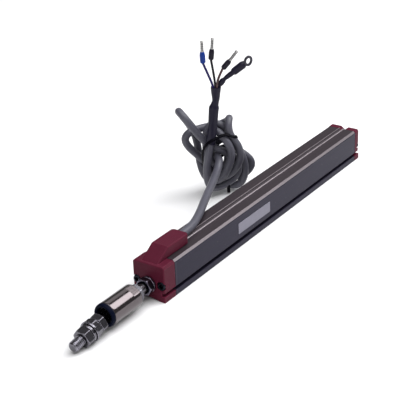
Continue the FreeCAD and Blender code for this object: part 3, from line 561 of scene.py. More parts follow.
def finish_for(context, slot):
    """Material of a slot; all finishes are made the first time one is asked for."""
    if not FINISHES:
        FINISHES.update(make_finishes(context.scene.sensor_colours, context.scene.sensor_sizes))
    return FINISHES[slot]


def dress(context, *nodes):
    """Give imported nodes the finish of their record's slot."""
    for name in nodes:
        node = frame["nodes"][name]
        node.data.materials.clear()
        node.data.materials.append(finish_for(context, SLOT_OF[name]))


class Axis:
    """Straight axis with two directions across it; places points by distance along, radius and angle."""

    def __init__(self, origin, along, side):
        self.origin = np.asarray(origin, float)
        self.along = np.asarray(along, float) / np.linalg.norm(along)
        self.side = np.asarray(side, float)
        self.up = np.cross(self.along, self.side)

    def points(self, distance, radius, angle):
        """Origin + distance x along + radius x (cos angle x side + sin angle x up)."""
        across = np.cos(angle)[..., None] * self.side + np.sin(angle)[..., None] * self.up
        return self.origin + distance[..., None] * self.along + radius[..., None] * across


ROD_AXIS = Axis((FRONT, 0.0, JOINTS["rod_spin"]["pos_m"][2] / MM), X_AXIS, Y_AXIS)
STUD_AXIS = Axis(np.array(JOINTS["stud_spin"]["pos_m"]) / MM, JOINTS["stud_spin"]["axis"], Y_AXIS)


def add_piece(context, name, mesh_or_curve, slot, body, *nodes, finish=None):
    """Object at the origin that rides on a body, has a slot's finish or its own, and replaces the nodes."""
    piece = bpy.data.objects.new(name, mesh_or_curve)
    context.collection.objects.link(piece)
    piece.data.materials.append(finish_for(context, finish or slot))
    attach(piece, body)
    if nodes:
        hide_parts(*nodes)
    return piece


def grid_mesh(name, points, wrap_rows=False):
    """Mesh over a grid of points whose columns close round.

    Each square of four neighbours is a face. Rows close on themselves where wrap_rows is set; otherwise
    the first and last rows end in fans about their middles.
    """
    rows, columns = points.shape[:2]
    index = np.arange(rows * columns).reshape(rows, columns)
    below = index if wrap_rows else index[:-1]
    above = np.roll(index, -1, axis=0) if wrap_rows else index[1:]
    beside = np.roll(below, -1, axis=1)
    beyond = np.roll(above, -1, axis=1)
    faces = np.stack([below, beside, beyond, above], axis=-1).reshape(-1, 4).tolist()
    spots = points.reshape(-1, 3)
    if not wrap_rows:
        spots = np.concatenate([spots, points[:1].mean(axis=1), points[-1:].mean(axis=1)])
        first = np.stack([np.roll(index[0], -1), index[0], np.full(columns, rows * columns)], axis=-1)
        last = np.stack([index[-1], np.roll(index[-1], -1), np.full(columns, rows * columns + 1)], axis=-1)
        faces += first.tolist() + last.tolist()
    mesh = bpy.data.meshes.new(name)
    mesh.from_pydata((spots * MM).tolist(), [], faces)
    mesh.polygons.foreach_set("use_smooth", np.ones(len(mesh.polygons), bool))
    mesh.set_sharp_from_angle(angle=math.radians(48))
    mesh.validate()
    return mesh


def eased(outline, radius, steps=4):
    """Outline with rounded corners: each becomes a quadratic curve that starts and ends a radius away."""
    outline = np.asarray(outline, float)
    t = np.linspace(0, 1, steps + 1)[:, None]
    rounds = [outline[:1]]
    for before, corner, after in zip(outline[:-2], outline[1:-1], outline[2:]):
        inward, outward = before - corner, after - corner
        start = corner + inward * min(0.45, radius / max(np.linalg.norm(inward), 1e-9))
        end = corner + outward * min(0.45, radius / max(np.linalg.norm(outward), 1e-9))
        rounds.append((1 - t) ** 2 * start + 2 * t * (1 - t) * corner + t ** 2 * end)
    rounds.append(outline[-1:])
    return np.concatenate(rounds)


def turned_mesh(name, axis, outline, columns=96, shape=None, wrap=False):
    """Outline of distances and radii carried round an axis; shape may change a radius by place and angle."""
    outline = np.asarray(outline, float)
    distance, angle = np.meshgrid(outline[:, 0], np.arange(columns) * 2 * math.pi / columns, indexing="ij")
    radius = np.repeat(outline[:, 1:], columns, axis=1)
    if shape is not None:
        radius = shape(distance, radius, angle)
    return grid_mesh(name, axis.points(distance, radius, angle), wrap)


def hexagon_radius(angle, flats, turn, sharpness=70.0):
    """Distance from the middle to a hexagon's side at each angle.

    Each side alone is flats / 2 / cos(angle from its normal), and a high power sum of the six rounds
    the corners.
    """
    normals = np.radians(turn + 30 + 60 * np.arange(6))
    nearness = np.clip(np.cos(angle[..., None] - normals), 0, None)
    return flats / 2 / (nearness ** sharpness).sum(axis=-1) ** (1 / sharpness)


def smooth_least(first, second, blend):
    """Lesser of two values, with a rounded change from one to the other."""
    gap = np.clip(0.5 + 0.5 * (second - first) / blend, 0, 1)
    return second * (1 - gap) + first * gap - blend * gap * (1 - gap)


def nut_sides(span, flats):
    """Outside of a nut, in section: faces, 30 degree corner chamfers and the corners' own radius."""
    start, end = span
    corner = flats / math.sqrt(3)
    land = 0.475 * flats
    slope = (corner - land) * math.tan(math.radians(30))
    rim = np.linspace(0, 1, 7)[:, None]
    face = np.array([start, land])
    edge = np.array([start + slope, corner])
    far_edge = np.array([end - slope, corner])
    far_face = np.array([end, land])
    sides = np.linspace(edge, far_edge, 6)[1:-1]
    return np.concatenate([face + (edge - face) * rim, sides, far_edge + (far_face - far_edge) * rim])


def nut_mesh(name, axis, span, bore, flats, turn):
    """Nut: the lesser of its hexagon and its chamfer cone at each angle, with a countersunk bore."""
    start, end = span
    wide = bore + NUT_LEAD
    hole = [(end, wide), (end - NUT_LEAD, bore), (start + NUT_LEAD, bore), (start, wide)]
    outline = np.concatenate([nut_sides(span, flats), hole])

    def corners(distance, radius, angle):
        """Lesser of the hexagon and the chamfer cone, outside the bore."""
        cornered = smooth_least(hexagon_radius(angle, flats, turn), radius, CORNER_BLEND)
        return np.where(radius > bore + 0.5, cornered, radius)

    return turned_mesh(name, axis, outline, 144, corners, wrap=True)


def spline_weights(count, samples):
    """Weights of a clamped quadratic spline's control points at evenly spaced places along it."""
    knots = np.concatenate([[0, 0], np.arange(count - 1), [count - 2, count - 2]]).astype(float)
    place = np.linspace(0, count - 2, samples).clip(max=count - 2 - 1e-9)[:, None]
    weights = ((knots[:-1] <= place) & (place < knots[1:])).astype(float)
    for degree in (1, 2):
        rise = knots[degree:-1] - knots[:-degree - 1]
        fall = knots[degree + 1:] - knots[1:-degree]
        up = (place - knots[:-degree - 1]) / np.where(rise > 0, rise, np.inf)
        down = (knots[degree + 1:] - place) / np.where(fall > 0, fall, np.inf)
        weights = up * weights[:, :-1] + down * weights[:, 1:]
    return weights


def carried_mesh(name, path, section, across, wrap=False):
    """Section carried along a path.

    Each place of the path gets side = across made square to the path and rise = path x side. The section's
    points are path + first x side + second x rise; it is one section, or one for each place.
    """
    if wrap:
        heading = np.roll(path, -1, axis=0) - np.roll(path, 1, axis=0)
    else:
        heading = np.gradient(path, axis=0)
    heading /= np.linalg.norm(heading, axis=1, keepdims=True)
    across = np.broadcast_to(across, path.shape)
    side = across - (across * heading).sum(axis=1, keepdims=True) * heading
    side /= np.linalg.norm(side, axis=1, keepdims=True)
    rise = np.cross(heading, side)
    section = np.broadcast_to(section, (len(path),) + section.shape[-2:])
    points = path[:, None] + section[..., :1] * side[:, None] + section[..., 1:] * rise[:, None]
    return grid_mesh(name, points, wrap)


def circle(radius, columns=24):
    """Points of a circle, or of one circle for each radius."""
    angle = np.arange(columns) * 2 * math.pi / columns
    return np.multiply.outer(radius, np.stack([np.cos(angle), np.sin(angle)], axis=-1))


HANK_OUT = np.array([math.cos(HANK_FACING), math.sin(HANK_FACING), 0.0])
HANK_ACROSS = np.array([-math.sin(HANK_FACING), math.cos(HANK_FACING), 0.0])


def from_front(points):
    """Points measured from the front cap's face, in the part's frame."""
    return np.asarray(points, float) + FRONT * X_AXIS


def in_hank(points):
    """Points given as across, toward and up from the hank's middle, in the part's frame."""
    points = np.asarray(points, float)
    middle = from_front(HANK_MIDDLE)
    return middle + points @ np.stack([HANK_ACROSS, HANK_OUT, Z_AXIS])


def at_end(points):
    """Points of the stripped end: across from the hank's middle, toward and up from the sleeves' top."""
    return in_hank(np.asarray(points, float) + (0.0, SLEEVE_TOP[1], SLEEVE_TOP[2]))


def bend(centre, first, second, start, sweep):
    """Elliptic arc: centre + first x cos + second x sin, from a start through a sweep in degrees."""
    share = np.linspace(0, 1, max(3, int(abs(sweep) / TURN_STEP) + 1))[:, None]
    angle = np.radians(start + sweep * share)
    return np.array(centre) + np.array(first) * np.cos(angle) + np.array(second) * np.sin(angle)


def hank_route():
    """Turns, bights and rising end of the tied cable, as across, toward and up."""
    return np.vstack([
        # The lead curls in behind the front and turns at the back, folded to a corner out on the right
        [(-1.3, 4.8, 4.0), (-2.2, 1.0, 3.4), (-1.8, -3.0, 3.2), (1.0, -6.2, 4.4), (6.0, -8.0, 4.0)],
        [(11.5, -8.8, -0.4), (22.4, -9.4, -5.6)],
        [(14.4, -9.2, -12.3), (7.7, -8.8, -15.9), (0.7, -8.6, -13.4), (-4.8, -8.4, -6.1), (-4.9, -7.8, 2.0)],
        # Turn beside it, then up across the back to the left
        [(-0.8, -7.0, 11.0), (4.8, -6.2, 10.2), (10.4, -5.4, 3.4), (13.8, -5.2, -4.8), (12.9, -5.2, -11.5)],
        [(11.2, -5.2, -16.7), (7.1, -5.2, -18.2), (2.4, -4.8, -16.1)],
        [(-1.7, -4.6, -10.6), (-6.0, -4.8, -4.5)],
        # Left lobe, and over to the upright bight at the top
        [(-10.8, -4.6, 0.7), (-16.4, -4.2, 5.3), (-20.1, -3.8, 10.3)],
        [(-17.3, -3.6, 15.1), (-11.3, -4.6, 14.9)],
        [(-5.8, -6.6, 14.9), (-0.7, -8.8, 15.0)],
        bend((4.9, -3.2, 16.4), (-0.4, 5.2, 0.0), (0.0, 0.0, 6.0), 160, -160),
        # Outer turn on the right, up again behind the sleeve
        [(4.9, 1.9, 13.4), (7.2, 1.9, 11.4), (10.0, 1.9, 8.4), (10.9, 1.8, 4.0), (9.5, 1.6, -1.4)],
        [(6.4, 1.4, -6.2), (2.5, 1.2, -9.4), (-1.6, 0.6, -11.6), (-5.4, -1.4, -9.8), (-7.4, -3.4, -4.4)],
        [(-7.6, -4.6, 2.6), (-6.8, -4.9, 9.0)],
        bend((-2.0, -4.2, 13.6), (5.9, 1.1, 0.0), (0.0, 0.0, 5.6), 176, -176),
        # Down inside, then up on the left
        [(3.7, -2.8, 10.4), (4.3, -2.6, 5.2)],
        bend((-0.8, -2.4, -0.4), (5.6, 0.0, 0.0), (0.0, 0.0, 5.2), 0, -180),
        [(-6.6, -1.8, 5.2), (-7.2, -1.4, 9.6), (-7.2, -1.2, 13.2)],
        # Inner turn in front
        [(-5.0, -0.8, 17.0), (-1.3, 0.6, 17.9), (1.7, 2.9, 14.8), (4.1, 4.7, 11.4), (5.6, 5.4, 8.2)],
        [(5.8, 5.6, 4.8), (4.9, 5.6, 0.6), (3.3, 5.4, -3.5), (1.0, 5.2, -7.2)],
        # Long bight seen edge on at the upper left
        [(-1.4, 4.6, -10.4), (-3.8, 2.6, -11.8), (-6.0, 0.0, -10.6), (-7.6, -2.8, -7.0), (-8.6, -5.8, -1.2)],
        [(-10.3, -8.6, 4.9)],
        bend((-14.0, -3.2, 17.2), (-7.5, 0.0, 10.3), (0.0, 8.0, 3.8), -100, 222),
        # Its other strand crosses behind the front, turns at the bottom and rises into the sleeve
        [(-6.0, 2.2, 9.2), (-2.6, 2.6, 6.8), (0.4, 2.4, 5.4), (4.0, 0.6, 3.6), (8.4, -1.8, 0.0)],
        [(11.0, -2.8, -6.0), (8.8, -3.0, -11.8), (3.8, -2.6, -14.2), (-1.8, 0.8, -13.8), (-5.2, 3.6, -11.6)],
        [(-6.9, 5.2, -7.4), (-7.3, 5.6, -2.0)],
        [(-6.9, 5.6, 3.6), (-5.6, 5.0, 9.0), (-4.6, 4.2, 14.0), (-4.1, 4.0, 18.5)],
    ])


def settled(route, held_first, held_last, diameter):
    """Route whose strands lie beside each other.

    In each round, places of the spline that are nearer than a diameter push each other apart by half of
    what is missing, a fourth difference keeps the bends even, and a weak pull keeps the turns where they
    were drawn.
    """
    weights = spline_weights(len(route), 6 * len(route))
    free = np.ones((len(route), 1))
    free[:held_first] = 0
    free[-held_last:] = 0
    drawn = route.copy()
    for _ in range(SETTLE_ROUNDS):
        line = weights @ route
        travelled = np.concatenate([[0], np.cumsum(np.linalg.norm(np.diff(line, axis=0), axis=1))])
        apart = line[:, None] - line[None]
        distance = np.linalg.norm(apart, axis=2)
        missing = np.clip(diameter - distance, 0, None)
        missing[np.abs(travelled[:, None] - travelled[None]) < SAME_STRAND * diameter] = 0
        push = (apart * (missing / np.maximum(distance, 1e-6))[..., None]).sum(axis=1)
        push /= np.maximum((missing > 0).sum(axis=1), 1)[:, None]
        move = (weights.T @ push) / weights.sum(axis=0)[:, None]
        even = np.zeros_like(route)
        even[2:-2] = (4 * (route[1:-3] + route[3:-1]) - route[:-4] - route[4:]) / 6 - route[2:-2]
        pull = drawn - route
        route = route + free * (SETTLE_PUSH * move + SETTLE_EVEN * even + SETTLE_PULL * pull)
    return route


def cable_route(diameter):
    """Control points of the whole cable in millimetres: the lead, then the settled hank."""
    route = np.concatenate([from_front(LEAD_ROUTE), in_hank(hank_route())])
    return settled(route, len(LEAD_ROUTE), 3, diameter)


def tie_path(line, strand, band):
    """Closed path of the tie: a drawn loop that is evened out and pushed off the strands, round by round.

    A place nearer to a strand's centreline than the strand's radius and a part of the band moves straight
    away from it by what is missing: the band presses into the jacket.
    """
    loop = in_hank(TIE_ROUTE + TIE_ROUTE[:1])
    travelled = np.concatenate([[0], np.cumsum(np.linalg.norm(np.diff(loop, axis=0), axis=1))])
    even = np.linspace(0, travelled[-1], TIE_STEPS, endpoint=False)
    path = np.stack([np.interp(even, travelled, places) for places in loop.T], axis=-1)
    for _ in range(TIE_ROUNDS):
        path = (np.roll(path, -1, axis=0) + 2 * path + np.roll(path, 1, axis=0)) / 4
        nearest = line[np.linalg.norm(path[:, None] - line[None], axis=2).argmin(axis=1)]
        away = path - nearest
        distance = np.linalg.norm(away, axis=1, keepdims=True)
        path = path + away / distance * np.clip(strand + TIE_PRESS * band - distance, 0, None)
    return path


class SENSOR_OT_housing(bpy.types.Operator):
    """Finish the extruded housing, its caps, gaskets and screws"""
    bl_idname = "sensor.housing"
    bl_label = "Housing"

    def execute(self, context):
        dress(context, "profile_housing", "front_cap", "rear_cap", "front_gasket", "rear_gasket")
        for node in SCREWS:
            for side in (1, -1):
                self.screw(context, node, side)
        low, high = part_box("rear_cap")
        notch = np.array([(high.x / MM, 0.0, 0.0), (low.x / MM + NOTCH_SETBACK, 0.0, 0.0)])
        self.side_pair(context, "notch_slope", notch, NOTCH_WEDGE)
        pocket = from_front([(place, 0.0, 0.0) for place in POCKET_SPAN])
        self.side_pair(context, "pocket_wall", pocket, POCKET_WALL)
        return {"FINISHED"}

    def side_pair(self, context, name, path, section):
        """Moulded form on each side of a cap: a section of distance from the middle and height along a path.

        The notch's slopes run down from the rear cap's shoulders, and the pockets' walls close the front
        screws' pockets behind their mouths.
        """
        for suffix, way in (("_far", -1), ("_near", 1)):
            mesh = carried_mesh(name + suffix, path[::-way], np.array(section), way * Y_AXIS)
            add_piece(context, name + suffix, mesh, "maroon_plastic", "housing")

    def screw(self, context, node, side):
        """Socket-head screw turned about its own axis: knurled head, chamfered rims and a hexagon socket."""
        seat, tip, high = SCREWS[node]
        long = abs(seat - tip)
        outward = X_AXIS if seat > tip else -X_AXIS
        axis = Axis((FRONT + seat, side * SCREW_ASIDE, SCREW_HEIGHT), outward, Y_AXIS)
        mouth = SOCKET_FLATS / math.sqrt(3)
        point_long, point_radius = SHANK_POINT
        outline = [
            (-long, ON_AXIS), (-long, point_radius), (-long + point_long, SHANK_RADIUS), (0.0, SHANK_RADIUS),
            (0.0, HEAD_RADIUS - HEAD_EDGE), (HEAD_EDGE, HEAD_RADIUS), (0.5 * high, HEAD_RADIUS),
        ]
        outline += [(high - below, HEAD_RADIUS - inward) for below, inward in HEAD_CROWN]
        outline += [
            (high, mouth + SOCKET_EDGE), (high - SOCKET_EDGE, mouth), (high - SOCKET_DEEP, mouth),
            (high - SOCKET_DEEP - 0.1, ON_AXIS),
        ]

        def cut(distance, radius, angle):
            """Hexagon in the socket; on the head's wall the radius + height x cos(knurls x angle)."""
            socket = (distance > HEAD_EDGE) & (radius <= mouth)
            hexagon = np.minimum(radius, hexagon_radius(angle, SOCKET_FLATS, 0.0))
            wall = (distance > HEAD_EDGE / 2) & (distance < high - KNURL_STOP) & (radius >= HEAD_RADIUS)
            knurled = radius + KNURL_HIGH * np.cos(KNURLS * angle)
            return np.where(socket, hexagon, np.where(wall, knurled, radius))

        name = node[:-1] + ("_near" if side > 0 else "_far")
        mesh = turned_mesh(name, axis, outline, 180, cut)
        piece = add_piece(context, name, mesh, "black_steel", "housing")
        if side > 0:
            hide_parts(node)


class SENSOR_OT_label(bpy.types.Operator):
    """Lay a bare plate on the labelled side of the housing"""
    bl_idname = "sensor.label"
    bl_label = "Label plate"

    def execute(self, context):
        # The rim is four quarter circles about the corners' hubs; rows repeat it as it rises and steps in
        sizes = context.scene.sensor_sizes
        half = np.array([sizes.label_length, sizes.label_height]) / MM / 2
        turn = np.radians(np.linspace(0, 90, 6))
        arc = LABEL_CORNER * np.stack([np.cos(turn), np.sin(turn)], axis=-1)
        arcs = [arc, arc[::-1] * (-1, 1), -arc, arc[::-1] * (1, -1)]
        hubs = np.array([(1, 1), (-1, 1), (-1, -1), (1, -1)]) * (half - LABEL_CORNER)
        rim = np.concatenate([hub + bow for hub, bow in zip(hubs, arcs)])[::-1]
        middle = np.array([LABEL_BACK + FRONT, LABEL_LOW]) + half
        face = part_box("profile_housing")[1].y / MM
        rows = []
        for grow, share in ((1.0, 0.0), (1.0, 0.6), (0.995, 0.9), (0.985, 1.0), (0.9, 1.0)):
            along, up = (middle + rim * grow).T
            rows.append(np.stack([along, np.full(len(rim), face + LABEL_THICK * share), up], axis=-1))
        mesh = grid_mesh("label_plate", np.stack(rows))
        add_piece(context, "label_plate", mesh, "tinned_copper", "housing", finish="label_foil")
        return {"FINISHED"}


class SENSOR_OT_rod(bpy.types.Operator):
    """Finish the push rod and its seal, and cut the guide bush with its hexagon"""
    bl_idname = "sensor.rod"
    bl_label = "Rod and bush"

    def execute(self, context):
        dress(context, "push_rod", "rod_wiper_seal", "rod_clip")
        back, face, collar, end = BUSH_SPAN
        body, flange = BUSH_RADII
        pocket, pocket_radius = SEAL_POCKET
        hexagon = nut_sides((collar, end), BUSH_FLATS)
        outline = np.concatenate([
            eased([(back, BUSH_BORE), (back, body), (face, body), (face, flange), (collar, flange),
                   (collar, hexagon[0, 1])], 0.12),
            hexagon,
            eased([(end, pocket_radius + 0.2), (end - 0.2, pocket_radius), (pocket, pocket_radius),
                   (pocket, BUSH_BORE), (back, BUSH_BORE)], 0.05)[:-1],
        ])

        def corners(distance, radius, angle):
            """Lesser of the hexagon and the chamfer cone, outside the seal's pocket."""
            outer = (distance >= collar) & (radius > pocket_radius + 0.25)
            cornered = smooth_least(hexagon_radius(angle, BUSH_FLATS, 0.0), radius, CORNER_BLEND)
            return np.where(outer, cornered, radius)

        mesh = turned_mesh("guide_bush", ROD_AXIS, outline, 144, corners, wrap=True)
        add_piece(context, "guide_bush", mesh, "bright_steel", "housing", "rod_bush", finish="black_bush")
        return {"FINISHED"}


class SENSOR_OT_coupling(bpy.types.Operator):
    """Turn the coupling with its wrench flats, its boot and the jam nut behind it"""
    bl_idname = "sensor.coupling"
    bl_label = "Coupling"

    def execute(self, context):
        dress(context, "ball", "rear_seat", "front_seat", "seat_spring", "retaining_ring")
        back, front = COUPLING_SPAN
        shoulder = eased([(back, ROD_RADIUS + 0.9), (back, COUPLING_RADIUS), (back + 4.4, COUPLING_RADIUS)],
                         COUPLING_SHOULDER, 8)
        flank = [(back + WRENCH_LONG - 0.02, COUPLING_RADIUS), (back + WRENCH_LONG, COUPLING_RADIUS),
                 (back + WRENCH_LONG + 0.05, COUPLING_RADIUS), (front - 1.0, COUPLING_RADIUS)]
        mouth = eased([(front - 1.0, COUPLING_RADIUS), (front, COUPLING_RADIUS), (front, COUPLING_BORE),
                       (BORE_FLOOR, COUPLING_BORE), (BORE_FLOOR, ROD_RADIUS), (back, ROD_RADIUS)], 0.25)
        outline = np.concatenate([[(back, ROD_RADIUS + 0.3)], shoulder, flank, mouth[1:]])
        normals = np.radians([WRENCH_TURN, WRENCH_TURN + 180])

        def flats(distance, radius, angle):
            """Lesser of the turned radius and half the flats / cos(angle from a normal), at the back."""
            facing = np.clip(np.cos(angle[..., None] - normals), 1e-3, None).max(axis=-1)
            cut = smooth_least(radius, WRENCH_HALF / facing, 0.06)
            outer = (distance < back + WRENCH_LONG - 0.001) & (radius > ROD_RADIUS + 0.2)
            return np.where(outer, cut, radius)

        mesh = turned_mesh("ball_coupling", ROD_AXIS, outline, 180, flats, wrap=True)
        add_piece(context, "ball_coupling", mesh, "nickel", "rod", "coupling_body")
        nut = nut_mesh("jam_nut_turned", ROD_AXIS, JAM_SPAN, ROD_RADIUS + 0.03, NUT_FLATS, JAM_TURN)
        add_piece(context, "jam_nut_turned", nut, "bright_steel", "rod", "jam_nut")
        rear, lip = BOOT_SPAN
        root, outer = COUPLING_BORE - 0.03, COUPLING_RADIUS - 0.03
        boot = eased([(rear, BOOT_LIP), (rear, root), (front, root), (front, outer), (front + 0.9, outer),
                      (lip - 0.2, outer - 0.35), (lip, outer - 0.95), (lip - 0.3, BOOT_LIP + 0.35),
                      (lip - 0.75, BOOT_LIP), (rear, BOOT_LIP)], 0.3)[:-1]
        mesh = turned_mesh("rubber_boot", ROD_AXIS, boot, 120, wrap=True)
        add_piece(context, "rubber_boot", mesh, "black_rubber", "rod", "dust_boot")
        return {"FINISHED"}


class SENSOR_OT_stud(bpy.types.Operator):
    """Cut the ball stud with its hexagon and thread, and the nuts and washers on it"""
    bl_idname = "sensor.stud"
    bl_label = "Ball stud"

    def execute(self, context):
        dress(context, "stud_clip")
        pitch = context.scene.sensor_sizes.thread_pitch / MM
        radii = STUD_RADII
        tail = eased([(STUD_TAIL, ON_AXIS), (STUD_TAIL, radii["tail"]), (-STUD_JOURNAL, radii["tail"]),
                      (-STUD_JOURNAL, radii["journal"]), (STUD_JOURNAL, radii["journal"]),
                      (STUD_JOURNAL, radii["neck"]), (STUD_HEX[0], radii["neck"])], 0.08)
        collar = nut_sides(STUD_HEX, NUT_FLATS)
        shank = [(STUD_HEX[1], radii["root"]), (THREAD_START, radii["root"])]
        along = np.arange(THREAD_START, STUD_END - TIP_LONG, pitch / 14)
        thread = np.stack([along, np.full(len(along), radii["thread"])], axis=-1)
        tip = np.linspace((STUD_END - TIP_LONG, radii["thread"]), (STUD_END, STUD_TIP), 9)
        end = eased([tip[-2], (STUD_END, STUD_TIP), (STUD_END, ON_AXIS)], 0.15)[1:]
        outline = np.concatenate([tail, collar, shank, thread, tip[:-1], end])

        def cut(distance, radius, angle):
            """Hexagon on the collar; along the thread a V groove that moves on by a pitch in each turn."""
            corner = smooth_least(hexagon_radius(angle, NUT_FLATS, STUD_HEX_TURN), radius, CORNER_BLEND)
            outer = radius > radii["root"] + 0.5
            in_collar = (distance >= STUD_HEX[0]) & (distance <= STUD_HEX[1]) & outer
            turn = np.mod(distance / pitch - angle / (2 * math.pi), 1.0)
            groove = np.clip(1.7 * np.abs(2 * turn - 1) - 0.45, 0, 1)
            depth = (radii["thread"] - radii["root"]) * groove
            run_in = np.clip((distance - THREAD_START) / THREAD_RUN_IN, 0, 1)
            wound = np.minimum(radius, radii["thread"] - depth * run_in)
            return np.where(in_collar, corner, np.where(distance > THREAD_START, wound, radius))

        mesh = turned_mesh("threaded_stud", STUD_AXIS, outline, 120, cut)
        add_piece(context, "threaded_stud", mesh, "bright_steel", "stud", "stud")
        nuts = (("lock_nut", LOCK_NUT, LOCK_NUT_TURN), ("clamp_nut", CLAMP_NUT, CLAMP_NUT_TURN))
        for name, span, turn in nuts:
            mesh = nut_mesh(name + "_turned", STUD_AXIS, span, radii["root"] + 0.03, NUT_FLATS, turn)
            add_piece(context, name + "_turned", mesh, "bright_steel", "stud", name)
        start, stop = WASHER
        bore, rim = WASHER_RADII
        ring = eased([(start, (bore + rim) / 2), (start, rim), (stop, rim), (stop, bore), (start, bore),
                      (start, (bore + rim) / 2)], 0.18)[:-1]
        mesh = turned_mesh("plain_washer", STUD_AXIS, ring, 120, wrap=True)
        add_piece(context, "plain_washer", mesh, "bright_steel", "stud", "flat_washer")
        self.split_washer(context)
        return {"FINISHED"}

    def split_washer(self, context):
        """Spring washer: a rounded rectangle carried round almost a full turn while it climbs."""
        start, stop = SPLIT_WASHER
        bore, rim = SPLIT_RADII
        high = stop - start - SPLIT_CLIMB
        share = np.linspace(0, 1, 97)
        angle = np.radians(SPLIT_START) + share * np.radians(SPLIT_SWEEP)
        radius = np.full(len(share), (bore + rim) / 2)
        path = STUD_AXIS.points(start + high / 2 + SPLIT_CLIMB * share, radius, angle)
        outward = STUD_AXIS.points(np.zeros(len(share)), radius, angle) - STUD_AXIS.origin
        half_wide, half_high = (rim - bore) / 2, high / 2
        loop = [(0, -half_high), (half_wide, -half_high), (half_wide, half_high), (-half_wide, half_high),
                (-half_wide, -half_high), (0, -half_high)]
        section = eased(loop, 0.2)[:-1]
        mesh = carried_mesh("split_washer", path, section, outward)
        add_piece(context, "split_washer", mesh, "bright_steel", "stud", "lock_washer")


class SENSOR_OT_cable(bpy.types.Operator):
    """Lay the signal cable from the hump to its tied hank, with the tie around it"""
    bl_idname = "sensor.cable"
    bl_label = "Cable"

    def execute(self, context):
        sizes = context.scene.sensor_sizes
        diameter = sizes.cable_diameter / MM
        route = cable_route(diameter)
        curve = bpy.data.curves.new("signal_cable", "CURVE")
        curve.dimensions = "3D"
        curve.bevel_depth = sizes.cable_diameter / 2
        curve.bevel_resolution = 6
        curve.resolution_u = 10
        curve.use_fill_caps = True
        spline = curve.splines.new("NURBS")
        spline.points.add(len(route) - 1)
        spline.points.foreach_set("co", np.column_stack([route * MM, np.ones(len(route))]).ravel())
        spline.order_u = 3
        spline.use_endpoint_u = True
        spline.use_smooth = True
        add_piece(context, "signal_cable", curve, "cable_grey", "housing", "cable_lead", "cable_coil")
        line = spline_weights(len(route), 16 * len(route)) @ route
        half_band = sizes.tie_thickness / MM / 2
        path = tie_path(line, diameter / 2, half_band)
        outward = path - path.mean(axis=0)
        section = circle(1.0, 16) * (half_band, sizes.tie_width / MM / 2)
        mesh = carried_mesh("hank_tie", path, section, outward, wrap=True)
        add_piece(context, "hank_tie", mesh, "tie_black", "housing", "cable_tie")
        loose = spline_weights(len(TIE_END), 32) @ in_hank(TIE_END)
        mesh = carried_mesh("tie_end", loose, section, HANK_OUT)
        add_piece(context, "tie_end", mesh, "tie_black", "housing")
        return {"FINISHED"}


